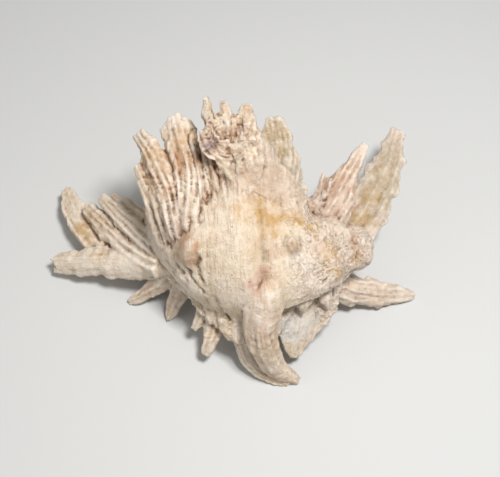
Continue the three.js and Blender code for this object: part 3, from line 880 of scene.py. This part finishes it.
# %% Read the skin
def read_skin(mesh):
    """Points in millimetres in the shell's own frame, and normals."""
    points = np.empty(len(mesh.vertices) * 3, dtype=np.float32)
    mesh.vertices.foreach_get("co", points)
    normals = np.empty(len(mesh.vertices) * 3, dtype=np.float32)
    mesh.vertex_normals.foreach_get("vector", normals)
    return points.reshape(-1, 3).astype(float) / MM - TO_MIDDLE, normals.reshape(-1, 3).astype(float)


def edge_pairs(mesh):
    """The two points of each edge."""
    pairs = np.empty(len(mesh.edges) * 2, dtype=np.int32)
    mesh.edges.foreach_get("vertices", pairs)
    return pairs.reshape(-1, 2)


def neighbour_mean(values, pairs, rounds=1):
    """Each point's value as the mean over its neighbours, several times over."""
    count = len(values)
    degree = np.bincount(pairs.ravel(), minlength=count)[:, None]
    values = values.reshape(count, -1)
    for _ in range(rounds):
        total = np.empty_like(values)
        for column in range(values.shape[1]):
            v = values[:, column]
            total[:, column] = np.bincount(pairs[:, 0], v[pairs[:, 1]], count)
            total[:, column] += np.bincount(pairs[:, 1], v[pairs[:, 0]], count)
        values = total / np.maximum(degree, 1)
    return values


# How far each point moves towards the mean of its neighbours when the skin is smoothed.
MEAN_SHARE = 0.45
points, normals = read_skin(shell.data)
mean_points = neighbour_mean(points, edge_pairs(shell.data))
points = (1.0 - MEAN_SHARE) * points + MEAN_SHARE * mean_points
print("points of the skin", len(points))

# %% Nearest frond
def nearest_frond(points):
    """For each point: the length along its nearest frond, the distance across it, the strength of its
    relief, and how near it is, 1 on the frond and 0 at its root and away from it."""
    lines = np.vstack(frond_lines)
    line_square = (lines[:, :3] ** 2).sum(axis=1)
    nearest = np.empty(len(points), dtype=int)
    for block in np.array_split(np.arange(len(points)), max(1, len(points) // 8000)):
        square = line_square - 2.0 * points[block] @ lines[:, :3].T
        nearest[block] = square.argmin(axis=1)
    found = lines[nearest]
    from_line = points - found[:, :3]
    length_so_far, whole_length, half_width = found[:, 3], found[:, 4], found[:, 5]
    near = 1.0 - smoothstep(np.linalg.norm(from_line, axis=1) / half_width, 0.9, 1.5)
    past_root = smoothstep(length_so_far / whole_length, 0.15, 0.4)
    across = (from_line * found[:, 6:9]).sum(axis=1)
    return length_so_far, across, found[:, 9], near * past_root


# On a frond the third value is far from the whorls' 0, and a point counts as on it from this share.
FROND_LAYER = 90.0
FROND_FROM = 0.32


def growth_directions(along_frond, across_frond, on_frond, s, radius, angle):
    """Where each point lies across and along the direction of growth, in millimetres: across and
    along its frond, or on the whorls along the axis and around it. The third value keeps the two
    kinds apart."""
    on = on_frond > FROND_FROM
    across = np.where(on, across_frond, s)
    along = np.where(on, along_frond, np.radians(angle) * radius)
    return np.stack([across, along, np.where(on, FROND_LAYER, 0.0)], axis=-1)


along_frond, across_frond, frond_relief, on_frond = nearest_frond(points)
s, radius, angle = shell_coordinates(points)
flow = growth_directions(along_frond, across_frond, on_frond, s, radius, angle)
print("share of the skin on fronds:", round(float((on_frond > 0.5).mean()), 2))

# %% Heights of the relief
LAYER_PITCH = 8.0
RIB_PITCH = 3.4


def layered(x):
    """Overlapping layers: a slow rise and a sudden step, once for each whole number."""
    phase = x - np.floor(x)
    return phase * (1.0 - smoothstep(phase, 0.82, 1.0)) - 0.4


def near_side_share(s, angle):
    """1 on the near side of the last whorl, below the near varix, and 0 elsewhere."""
    return smoothstep(-angle, 84.0, 104.0) * smoothstep(s, 30.0, 44.0)


spire = 1.0 - smoothstep(s, 30.0, 52.0)
near_side = near_side_share(s, angle)
high = smoothstep(radius, 50.0, 64.0)
broad_waves = rough_noise(points, 26.0, 2, salt=3)
grit = rough_noise(points, 2.8, 2, salt=11)
coarse = rough_noise(points, 9.0, 3, salt=21)
wrinkles = rough_noise(flow * np.array([1.0, 0.16, 1.0]), 3.2, 3, salt=15)
chipped = np.abs(rough_noise(points, 5.0, 3, salt=25))
frond_phase = along_frond / LAYER_PITCH + 1.6 * rough_noise(points, 16.0, 2, salt=31)
layers_frond = layered(frond_phase) * smoothstep(rough_noise(points, 12.0, 2, salt=33), -0.3, 0.4)
rib_turns = across_frond * 2.0 * np.pi / RIB_PITCH
ribs_frond = np.cos(rib_turns + 2.0 * rough_noise(points, 12.0, 1, salt=35))
flakes = layered(3.4 * rough_noise(points, 13.0, 3, salt=71))
layers_body = layered(angle / 5.5 + 1.4 * rough_noise(points, 20.0, 2, salt=37))
height = (
    on_frond * frond_relief * (0.5 * layers_frond + 0.2 * ribs_frond + 0.75 * wrinkles + 0.4 * coarse)
    + (1.0 - on_frond) * (0.3 * coarse + 0.25 * layers_body * (0.4 + near_side))
    + (1.0 - on_frond) * (0.3 + 0.5 * high) * wrinkles
    - 0.25 * chipped * (0.2 + (1.0 - on_frond) * (spire + 0.6 * near_side))
    + spire * (1.0 - 0.9 * on_frond) * (0.9 * coarse + 0.15 * grit + 1.1 * flakes)
    + near_side * (1.0 - 0.6 * on_frond) * (0.5 * coarse + 0.1 * grit + 0.7 * flakes)
    + 0.5 * broad_waves
)
print("relief of the whole from", height.min().round(2), "to", height.max().round(2), "mm")

# %% Relief of the broken crest and of the stump
CREST_MIDDLE = (-13.0, 26.0, 119.0)
STUMP_MIDDLE = (25.0, -28.0, 83.0)
RING_PITCH = 2.1
# The lowest places of the crest: where, how deep and how wide.
DENTS = [((-11.0, 18.0, 114.0), 0.7, 6.0), ((-22.0, 20.0, 119.0), 1.6, 4.0)]


def distance_from(points, middle):
    """How far each point is from one place, in millimetres."""
    return np.linalg.norm(points - np.array(middle, dtype=float), axis=1)


from_crest = distance_from(points, CREST_MIDDLE)
crumpled = 1.0 - smoothstep(from_crest, 14.0, 26.0)
height += crumpled * (1.1 * rough_noise(points, 6.5, 3, salt=61) + 0.8 * flakes)
rings = layered((from_crest + 1.5 * broad_waves) / RING_PITCH) * smoothstep(from_crest, 5.0, 8.0)
height += 0.7 * rings * (1.0 - smoothstep(from_crest, 13.0, 17.0)) * (points[:, 2] < 117.0)
for middle, depth, width in DENTS:
    height -= depth * bell(distance_from(points, middle), width)
height *= 1.0 - 0.85 * bell(distance_from(points, STUMP_MIDDLE), 5.0)
print("relief in all from", height.min().round(2), "to", height.max().round(2), "mm")

# %% Move the skin and thin it
MOST_TRIANGLES = 196000
moved = points + normals * height[:, None]
moved[:, 2] = np.maximum(moved[:, 2], 0.0)
shell.data.vertices.foreach_set("co", ((moved + TO_MIDDLE) * MM).astype(np.float32).ravel())
shell.data.update()
triangle_count = sum(len(p.vertices) - 2 for p in shell.data.polygons)
thin = shell.modifiers.new("thin", "DECIMATE")
thin.ratio = min(1.0, MOST_TRIANGLES / triangle_count)
thin.use_collapse_triangulate = True
apply_modifiers(shell)
print("triangles", triangle_count, "thinned to", len(shell.data.polygons))

# %% Leave out loose crumbs
def largest_piece(point_count, pairs):
    """True for the points of the largest connected piece: each point takes the lowest number among
    its neighbours, again and again, until nothing changes."""
    label = np.arange(point_count)
    while True:
        low = np.minimum(label[pairs[:, 0]], label[pairs[:, 1]])
        lower = label.copy()
        np.minimum.at(lower, label[pairs[:, 0]], low)
        np.minimum.at(lower, label[pairs[:, 1]], low)
        lower = lower[lower]
        if (lower == label).all():
            break
        label = lower
    return label == np.bincount(label).argmax()


points, normals = read_skin(shell.data)
kept_points = largest_piece(len(points), edge_pairs(shell.data))
triangles = np.empty(len(shell.data.polygons) * 3, dtype=np.int32)
shell.data.loops.foreach_get("vertex_index", triangles)
triangles = triangles.reshape(-1, 3)
kept_triangles = triangles[kept_points[triangles[:, 0]]]
new_number = np.cumsum(kept_points) - 1
shell.data = new_mesh("murex_shell", points[kept_points], new_number[kept_triangles])
print("crumbs left out:", len(triangles) - len(kept_triangles), "triangles")

# %% [markdown]
# ## The finish
#
# Bleached shell is matt and chalky. It is cream, paler and pinkish on the spire, with tan and orange
# stains. Its hollows are darker, with dirt and painted shade, and its ridges are whiter, with wear and
# a painted highlight. The masks that follow the form could come from the renderer's own view of edges,
# but the exported model would lose them. So they are worked out once for each point of the skin, and
# the material mixes its colours by them.

# %% Masks of the skin
def write_mask(mesh, name, values):
    """A value for each point, held between 0 and 1, as an attribute that the material reads."""
    layer = mesh.attributes.new(name, "FLOAT", "POINT")
    layer.data.foreach_set("value", np.clip(values, 0.0, 1.0).astype(np.float32).ravel())


points, normals = read_skin(shell.data)
pairs = edge_pairs(shell.data)
s, radius, angle = shell_coordinates(points)
along_frond, across_frond, _, on_frond = nearest_frond(points)
fine_mean = neighbour_mean(points, pairs, 3)
wide_mean = neighbour_mean(points, pairs, 24)
# Hollows are darkened later with dirt and painted shade, and ridges lightened with wear and a painted
# highlight. Both come from how far a point lies from the mean of its neighbours.
fine_hollow = ((fine_mean - points) * normals).sum(axis=1)
wide_hollow = ((wide_mean - points) * normals).sum(axis=1)
hollow = smoothstep(fine_hollow, 0.1, 0.6) * 0.6 + smoothstep(wide_hollow, 0.2, 2.2) * 0.9
# The folds between the fronds along the top are darker still: painted shade of the deep folds, with
# dirt.
folded = smoothstep(-points[:, 0], 14.0, 26.0) * smoothstep(points[:, 2], 45.0, 65.0)
hollow += 0.55 * folded * smoothstep(fine_hollow, 0.02, 0.3)
write_mask(shell.data, "hollow", hollow)
# Wear and painted highlight: the ridges, where the surface stands above its neighbours, are whitened
# later.
write_mask(shell.data, "ridge", smoothstep(-fine_hollow, 0.05, 0.5))
write_mask(shell.data, "spire", 1.0 - smoothstep(s, 24.0, 46.0))
print("mean hollow", round(float(hollow.mean()), 3))

# %% Masks of the crust and of the growth streaks
off_crest = smoothstep(distance_from(points, CREST_MIDDLE), 20.0, 34.0)
crust = 1.0 - smoothstep(s, 30.0, 66.0) * (1.0 - near_side_share(s, angle)) * off_crest
write_mask(shell.data, "crust", crust * (1.0 - 0.6 * on_frond * off_crest))
growing_angle = np.where(angle > LIP_ANGLE, angle - 360.0, angle)
own = (s + LOST_TIP) / GROWTH ** ((growing_angle - LIP_ANGLE) / 360.0)
on_flank = smoothstep(own, 60, 76) * (1.0 - smoothstep(own, 158, 168)) * smoothstep(s, 44, 58)
on_blade = smoothstep(on_frond, 0.4, 0.75)
off_blade = 1.0 - smoothstep(on_frond, 0.05, 0.25)
write_mask(shell.data, "striped", on_flank * off_blade + 0.8 * on_blade)
flow = growth_directions(along_frond, across_frond, on_frond, s, radius, angle)
flow_layer = shell.data.attributes.new("flow", "FLOAT_VECTOR", "POINT")
flow_layer.data.foreach_set("vector", flow.astype(np.float32).ravel())
print("share of the skin on blades", round(float(on_blade.mean()), 2))

# %% Stains
# For each kind of stain: where it is, how far it spreads, and how strong it is. The plug is the tan
# of the stump and of the knob. The shade is painted shade over a greyish tone: on the frill where the
# crest shades it, and on the long blade.
STAINS = {
    "orange": [
        ((-8, -10, 96), 10, 0.4), ((2, -12, 95), 13, 0.6), ((13, -12, 92), 13, 0.6),
        ((23, -12, 88), 11, 0.5), ((31, -10, 85), 10, 0.6), ((41, -12, 79), 8, 0.4),
        ((-38, 34, 107), 11, 0.5), ((-56, 28, 102), 11, 0.5), ((-8, 12, 98), 9, 0.2),
        ((49, -21, 73), 8, 0.5), ((48, -31, 73), 9, 0.4), ((53, -38, 65), 5, 0.9),
        ((64, -22, 60), 6, 0.5), ((2, -72, 30), 8, 0.3), ((-60, -4, 70), 8, 0.3),
        ((-2, -30, 86), 12, 0.25), ((8, -24, 87), 10, 0.3),
    ],
    "tan": [
        ((-14, 24, 117), 28, 0.62), ((-40, 22, 102), 24, 0.45), ((-58, 22, 96), 24, 0.5),
        ((-95, 22, 33), 24, 0.32), ((8, -70, 40), 16, 0.35), ((20, -78, 10), 14, 0.4),
        ((85, -22, 12), 24, 0.3), ((-38, -28, 80), 12, 0.8), ((62, 28, 80), 18, 0.4),
        ((-20, -56, 24), 14, 0.3), ((-52, -32, 16), 14, 0.35), ((-70, -20, 14), 14, 0.35),
        ((10, -45, 74), 14, 0.3), ((16, -30, 83), 7, 0.4), ((64, -18, 60), 12, 0.35),
    ],
    "rose": [
        ((14, 13, 95), 38, 0.55), ((54, 16, 72), 26, 1.0), ((50, -20, 70), 26, 0.3),
        ((-12, 25, 117), 26, 0.5), ((8, -60, 60), 16, 0.4), ((-48, -10, 80), 26, 0.4),
    ],
    "plug": [((25, -28, 85), 5.4, 1.3), ((-42, -29, 82), 11, 0.6)],
    "pale": [
        ((-92, -8, 28), 46, 0.85), ((4, -56, 69), 20, 0.4), ((38, -20, 76), 22, 0.5),
        ((86, -21, 12), 32, 0.7),
    ],
    "violet": [((-23, 19, 118), 5.5, 1.0), ((-20, 24, 120), 4, 0.5)],
    # Painted shade on the frill behind the crest and on the long blade, over their own greyish tone.
    "shade": [((17, 54, 38), 22, 1.0), ((16, 76, 50), 20, 0.5), ((86, 44, 34), 46, 0.6)],
    "pink": [
        ((6, -44, 75), 9, 0.4), ((12, -38, 78), 7, 0.3), ((-2, -50, 71), 9, 0.2),
        ((-28, -3, 95), 2.4, 0.8), ((-105, 26, 29), 2.6, 0.8), ((-24, 2, 96), 8, 0.2),
    ],
    "yellow": [
        ((-109, 20, 22), 16, 0.65), ((-97, -4, 27), 9, 0.35), ((-92, 40, 32), 7, 0.8),
        ((70, 24, 30), 22, 0.5), ((18, 74, 50), 20, 0.35), ((88, 52, 36), 20, 0.2),
    ],
    "gray": [
        ((31, -54, 31), 17, 0.8), ((22, -58, 26), 12, 0.7), ((28, -35, 79), 8, 0.5),
        ((-22, 20, 119), 6, 0.9), ((60, -34, 44), 12, 0.6), ((34, 40, 60), 18, 0.5),
    ],
    "dark": [
        ((-15, 4, 102), 1.1, 0.9), ((16, -7, 90), 1.1, 0.9), ((2, -11, 94), 1.0, 0.9),
        ((15, -27, 83), 1.6, 0.5), ((30, -25, 82), 1.0, 0.8), ((-2, -40, 80), 0.9, 0.7),
        ((-20, -20, 88), 0.9, 0.7),
    ],
}


def stain_mask(stains):
    """The sum of soft spots with uneven edges."""
    total = np.zeros(len(points))
    uneven = rough_noise(points, 7.0, 4, salt=51)
    for middle, reach, strength in stains:
        distance = distance_from(points, middle) / reach
        total += strength * (1.0 - smoothstep(distance + 0.45 * uneven, 0.25, 1.05))
    return total


for kind, stains in STAINS.items():
    write_mask(shell.data, kind, stain_mask(stains))
print("stains", sum(len(stains) for stains in STAINS.values()))

# %% Helpers for node trees
def paint(red, green, blue):
    """A colour as it looks on a screen, 0 to 255, turned into the light values that shaders use."""
    c = np.array([red, green, blue]) / 255.0
    linear = np.where(c <= 0.04045, c / 12.92, ((c + 0.055) / 1.055) ** 2.4)
    return (*linear.tolist(), 1.0)


def new_group(name, inputs, outputs):
    """A shader node group with named inputs and outputs. An input is a number with its usual value,
    or a place or direction where it has none, and every output is a number."""
    group = bpy.data.node_groups.new(name, "ShaderNodeTree")
    for label, value in inputs.items():
        kind = "NodeSocketVector" if value is None else "NodeSocketFloat"
        socket = group.interface.new_socket(label, in_out="INPUT", socket_type=kind)
        if value is not None:
            socket.default_value = value
    for label in outputs:
        group.interface.new_socket(label, in_out="OUTPUT", socket_type="NodeSocketFloat")
    print("group", name)
    return group, group.nodes.new("NodeGroupInput").outputs, group.nodes.new("NodeGroupOutput").inputs


def connect(tree, value, socket):
    """Links a socket to a socket, or writes a plain value into it."""
    if isinstance(value, bpy.types.NodeSocket):
        tree.links.new(value, socket)
    else:
        socket.default_value = value


def math_node(tree, operation, *values, clamp=False):
    """One sum, product or other operation on its values."""
    made = tree.nodes.new("ShaderNodeMath")
    made.operation = operation
    made.use_clamp = clamp
    for value, socket in zip(values, made.inputs):
        connect(tree, value, socket)
    return made.outputs[0]


def spread(tree, value, low, high, to_low=0.0, to_high=1.0):
    """A smooth step from low to high, as a value between to_low and to_high."""
    made = tree.nodes.new("ShaderNodeMapRange")
    made.interpolation_type = "SMOOTHSTEP"
    for socket, number in zip(made.inputs, (value, low, high, to_low, to_high)):
        connect(tree, number, socket)
    return made.outputs[0]


def cloud(tree, position, size, detail=4.0, rough=0.55):
    """Soft random clouds of about the given size in millimetres, for a position in metres."""
    made = tree.nodes.new("ShaderNodeTexNoise")
    connect(tree, position, made.inputs["Vector"])
    connect(tree, math_node(tree, "DIVIDE", 1.0 / MM, size), made.inputs["Scale"])
    made.inputs["Detail"].default_value = detail
    made.inputs["Roughness"].default_value = rough
    return made.outputs["Fac"]


def mix_colours(tree, share, first, second):
    """The second colour over the first by a share."""
    made = tree.nodes.new("ShaderNodeMix")
    made.data_type = "RGBA"
    connect(tree, share, made.inputs["Factor"])
    connect(tree, first, made.inputs["A"])
    connect(tree, second, made.inputs["B"])
    return made.outputs["Result"]


print("white as light values", paint(255, 255, 255))

# %% [markdown]
# ### Grain, mottling, pits, streaks, crust, and dirt with painted shade
#
# Six effects make the finish, and each is a node group with its own inputs: the fine grain of chalk,
# cloudy mottling, pits bored by small animals, the streaks along the growth of whorls and fronds, the
# crinkled lines of worn crust, and dirt with painted shade in the hollows. One large tree would give
# the same look, but groups can be tried one at a time.

# %% Grain of the chalk
grain_group, given, result = new_group("chalk grain", {"Position": None, "Size": 1.2}, ["Height"])
connect(grain_group, cloud(grain_group, given["Position"], given["Size"], 6.0, 0.65), result["Height"])

# %% Mottling
mottle_group, given, result = new_group(
    "mottling", {"Position": None, "Size": 12.0, "From": 0.45, "To": 0.65}, ["Mask"],
)
clouds = cloud(mottle_group, given["Position"], given["Size"], 7.0, 0.6)
connect(mottle_group, spread(mottle_group, clouds, given["From"], given["To"]), result["Mask"])

# %% Pits
pit_group, given, result = new_group(
    "pits", {"Position": None, "Size": 4.0, "Radius": 0.16, "Share": 0.4}, ["Mask"],
)
cells = pit_group.nodes.new("ShaderNodeTexVoronoi")
connect(pit_group, given["Position"], cells.inputs["Vector"])
connect(pit_group, math_node(pit_group, "DIVIDE", 1.0 / MM, given["Size"]), cells.inputs["Scale"])
floor_of_pit = math_node(pit_group, "MULTIPLY", given["Radius"], 0.4)
pit = spread(pit_group, cells.outputs["Distance"], floor_of_pit, given["Radius"], 1.0, 0.0)
pick = pit_group.nodes.new("ShaderNodeSeparateColor")
connect(pit_group, cells.outputs["Color"], pick.inputs["Color"])
chosen = math_node(pit_group, "LESS_THAN", pick.outputs["Red"], given["Share"])
connect(pit_group, math_node(pit_group, "MULTIPLY", pit, chosen), result["Mask"])

# %% Growth streaks
# A streak is a line where the drawn-out clouds are lower than this, with an edge of some softness.
STREAK_LEVEL = 0.47
streak_group, given, result = new_group(
    "growth streaks", {"Flow": None, "Width": 1.2, "Length": 12.0, "Softness": 0.07},
    ["Height", "Line"],
)
flow_parts = streak_group.nodes.new("ShaderNodeSeparateXYZ")
connect(streak_group, given["Flow"], flow_parts.inputs[0])
drawn = streak_group.nodes.new("ShaderNodeCombineXYZ")
across = math_node(streak_group, "DIVIDE", flow_parts.outputs["X"], given["Width"])
along = math_node(streak_group, "DIVIDE", flow_parts.outputs["Y"], given["Length"])
for value, label in ((across, "X"), (along, "Y"), (flow_parts.outputs["Z"], "Z")):
    connect(streak_group, value, drawn.inputs[label])
drawn_clouds = cloud(streak_group, drawn.outputs[0], 1.0 / MM, 4.0, 0.6)
connect(streak_group, drawn_clouds, result["Height"])
low = math_node(streak_group, "SUBTRACT", STREAK_LEVEL, given["Softness"])
connect(streak_group, spread(streak_group, drawn_clouds, low, STREAK_LEVEL, 1.0, 0.0), result["Line"])

# %% Worn crust
crust_group, given, result = new_group(
    "worn crust", {"Position": None, "Size": 3.0, "Width": 0.035}, ["Line"],
)
crinkles = cloud(crust_group, given["Position"], given["Size"], 3.0, 0.5)
from_line = math_node(crust_group, "ABSOLUTE", math_node(crust_group, "SUBTRACT", crinkles, 0.5))
connect(crust_group, spread(crust_group, from_line, 0.0, given["Width"], 1.0, 0.0), result["Line"])

# %% Dirt and painted shade in the hollows
DIRT_AND_SHADE_PATCH_SIZE = 7.0
dirt_and_shade_group, given, result = new_group(
    "settled dirt", {"Position": None, "Hollow": 0.0, "Amount": 1.0}, ["Mask"],
)
# The hollows are darkened as dirt and as painted shade, in uneven patches.
dirt_and_shade_clouds = cloud(dirt_and_shade_group, given["Position"], DIRT_AND_SHADE_PATCH_SIZE, 6.0, 0.65)
uneven_dirt_and_shade = spread(dirt_and_shade_group, dirt_and_shade_clouds, 0.25, 0.7, 0.45, 1.2)
dirt_and_shade = math_node(dirt_and_shade_group, "MULTIPLY", given["Hollow"], uneven_dirt_and_shade)
connect(dirt_and_shade_group, math_node(dirt_and_shade_group, "MULTIPLY", dirt_and_shade, given["Amount"], clamp=True), result["Mask"])

# %% [markdown]
# ### The shell's material
#
# The colours are laid over each other as the real ones came to the shell, with painted shade and
# highlight among them: cream lime with paler and pinker clouds first, then the stains with a painted
# grey shade, the streaks and crinkles, the dirt and painted shade in hollows, the pits, and last the
# worn white edges with a painted highlight and the tan of the old stump. A painted image would need
# its own map of the surface, and coats that follow masks don't. The bump holds only what is finer than
# the skin's own triangles.

# %% Colours
CREAM = paint(225, 207, 181)
BONE = paint(220, 200, 184)
ROSE = paint(206, 176, 154)
# The grey of the painted shade, close to the frill's own greyish tone.
SHADE = paint(184, 174, 152)
VIOLET = paint(160, 140, 138)
PALE = paint(236, 222, 204)
PINKISH = paint(216, 186, 166)
TAN = paint(186, 150, 116)
ORANGE_TAN = paint(206, 168, 114)
PINK_STAIN = paint(202, 154, 136)
YELLOW_BROWN = paint(200, 160, 92)
GRAY = paint(220, 214, 206)
TAN_LAYER = paint(194, 152, 116)
DIRT_AND_SHADE = paint(112, 80, 56)
PIT_DARK = paint(84, 62, 48)
EDGE_WHITE = paint(246, 238, 226)
print("cream as light values", [round(c, 3) for c in CREAM])

# %% The material and its helpers
chalk = bpy.data.materials.new("bleached chalk shell")
chalk.use_nodes = True
tree = chalk.node_tree
shader = tree.nodes["Principled BSDF"]
position = tree.nodes.new("ShaderNodeTexCoord").outputs["Object"]


def attribute(name, output="Fac"):
    """A mask of the skin, or its Vector where the attribute is a direction."""
    made = tree.nodes.new("ShaderNodeAttribute")
    made.attribute_name = name
    return made.outputs[output]


def effect(group, **values):
    """A node group placed in the material, with its inputs."""
    made = tree.nodes.new("ShaderNodeGroup")
    made.node_tree = group
    if "Position" in made.inputs:
        connect(tree, position, made.inputs["Position"])
    for label, value in values.items():
        connect(tree, value, made.inputs[label])
    return made.outputs


def mottled(size, low, high):
    """Clouds of a size in millimetres: nothing where they are below low, all where above high."""
    return effect(mottle_group, Size=size, From=low, To=high)["Mask"]


def times(first, second):
    """The product of two values."""
    return math_node(tree, "MULTIPLY", first, second)


patches = mottled(9.0, 0.3, 0.66)


def patchy(mask, least):
    """A mask broken up by clouds, never below a share of itself."""
    share = spread(tree, patches, 0.0, 1.0, least, 1.25)
    return math_node(tree, "MULTIPLY", mask, share, clamp=True)


print("material", chalk.name)

# %% Coats of lime and of stains
# Each coat is a colour and the mask that it follows, from the first to the last.
spire_mask = attribute("spire")
pink_share = math_node(tree, "MULTIPLY_ADD", spire_mask, 0.45, 0.25)
coats = [
    (PALE, mottled(22.0, 0.42, 0.62)),
    (PINKISH, times(mottled(15.0, 0.46, 0.7), pink_share)),
    (TAN, times(mottled(5.0, 0.52, 0.68), 0.28)),
    (TAN, times(mottled(1.6, 0.5, 0.66), 0.16)),
    (EDGE_WHITE, times(mottled(2.4, 0.58, 0.7), 0.3)),
    (BONE, times(spire_mask, 0.5)),
    (GRAY, attribute("gray")),
    (PALE, patchy(attribute("pale"), 0.7)),
    (ROSE, patchy(attribute("rose"), 0.6)),
    # Painted shade over a greyish tone, on the frill and the long blade.
    (SHADE, patchy(attribute("shade"), 0.8)),
    (TAN_LAYER, patchy(attribute("tan"), 0.45)),
    (VIOLET, attribute("violet")),
    (ORANGE_TAN, patchy(attribute("orange"), 0.35)),
    (YELLOW_BROWN, patchy(attribute("yellow"), 0.45)),
    (PINK_STAIN, patchy(attribute("pink"), 0.6)),
]
print("coats of lime and stains", len(coats))

# %% Coats of streaks, crust, dirt and painted shade, and wear and painted highlight
flow_vector = attribute("flow", "Vector")
striped_share = patchy(attribute("striped"), 0.3)
streaks = effect(streak_group, Flow=flow_vector, Width=1.3, Length=10.0)
broad_streaks = effect(streak_group, Flow=flow_vector, Width=4.5, Length=40.0)
crusty = patchy(math_node(tree, "MULTIPLY_ADD", attribute("crust"), 0.75, 0.25), 0.3)
crinkle_lines = times(effect(crust_group, Size=3.2, Width=0.03)["Line"], crusty)
fine_crinkle_lines = times(effect(crust_group, Size=1.9, Width=0.035)["Line"], crusty)
pits = effect(pit_group, Size=3.4, Radius=0.15, Share=0.1)["Mask"]
coats += [
    (TAN, times(times(streaks["Line"], striped_share), 0.4)),
    (PINKISH, times(times(broad_streaks["Line"], striped_share), 0.25)),
    (TAN, times(crinkle_lines, 0.2)),
    (TAN, times(fine_crinkle_lines, 0.16)),
    # Dirt and painted shade: the hollows darkened to a dark brown.
    (DIRT_AND_SHADE, effect(dirt_and_shade_group, Hollow=attribute("hollow"), Amount=0.95)["Mask"]),
    (PIT_DARK, times(pits, 0.45)),
    (PIT_DARK, attribute("dark")),
    # Wear and painted highlight: the ridges lightened to white.
    (EDGE_WHITE, times(attribute("ridge"), 0.6)),
    (TAN, times(attribute("plug"), 0.75)),
]
colour = CREAM
for coat, mask in coats:
    colour = mix_colours(tree, mask, colour, coat)
connect(tree, colour, shader.inputs["Base Color"])
print("coats in all", len(coats))

# %% Roughness and bump
BUMP_DEPTH = 0.0015
BUMP_STRENGTH = 0.9
grain = effect(grain_group, Size=1.1)["Height"]
coarse_grain = effect(grain_group, Size=3.2)["Height"]
connect(tree, spread(tree, coarse_grain, 0.3, 0.7, 0.72, 0.92), shader.inputs["Roughness"])
# What stands out has a share above 0, and what is cut in has one below 0.
bump_shares = [
    (grain, 0.5), (coarse_grain, 0.7), (times(streaks["Height"], striped_share), 0.8),
    (pits, -0.6), (crinkle_lines, -0.22), (fine_crinkle_lines, -0.16),
]
relief = 0.0
for part, share in bump_shares:
    relief = math_node(tree, "ADD", relief, times(part, share))
bump = tree.nodes.new("ShaderNodeBump")
bump.inputs["Strength"].default_value = BUMP_STRENGTH
bump.inputs["Distance"].default_value = BUMP_DEPTH
connect(tree, relief, bump.inputs["Height"])
connect(tree, bump.outputs["Normal"], shader.inputs["Normal"])
shader.inputs["Specular IOR Level"].default_value = 0.3
shell.data.materials.append(chalk)
print("nodes in the material", len(tree.nodes))

# %% [markdown]
# ## Hand the shell over
#
# The skin stands for the measured solid and rides on the one body there is.

# %% Finish
shell.data.polygons.foreach_set("use_smooth", np.ones(len(shell.data.polygons), dtype=bool))
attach(shell, "root")
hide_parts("shell")
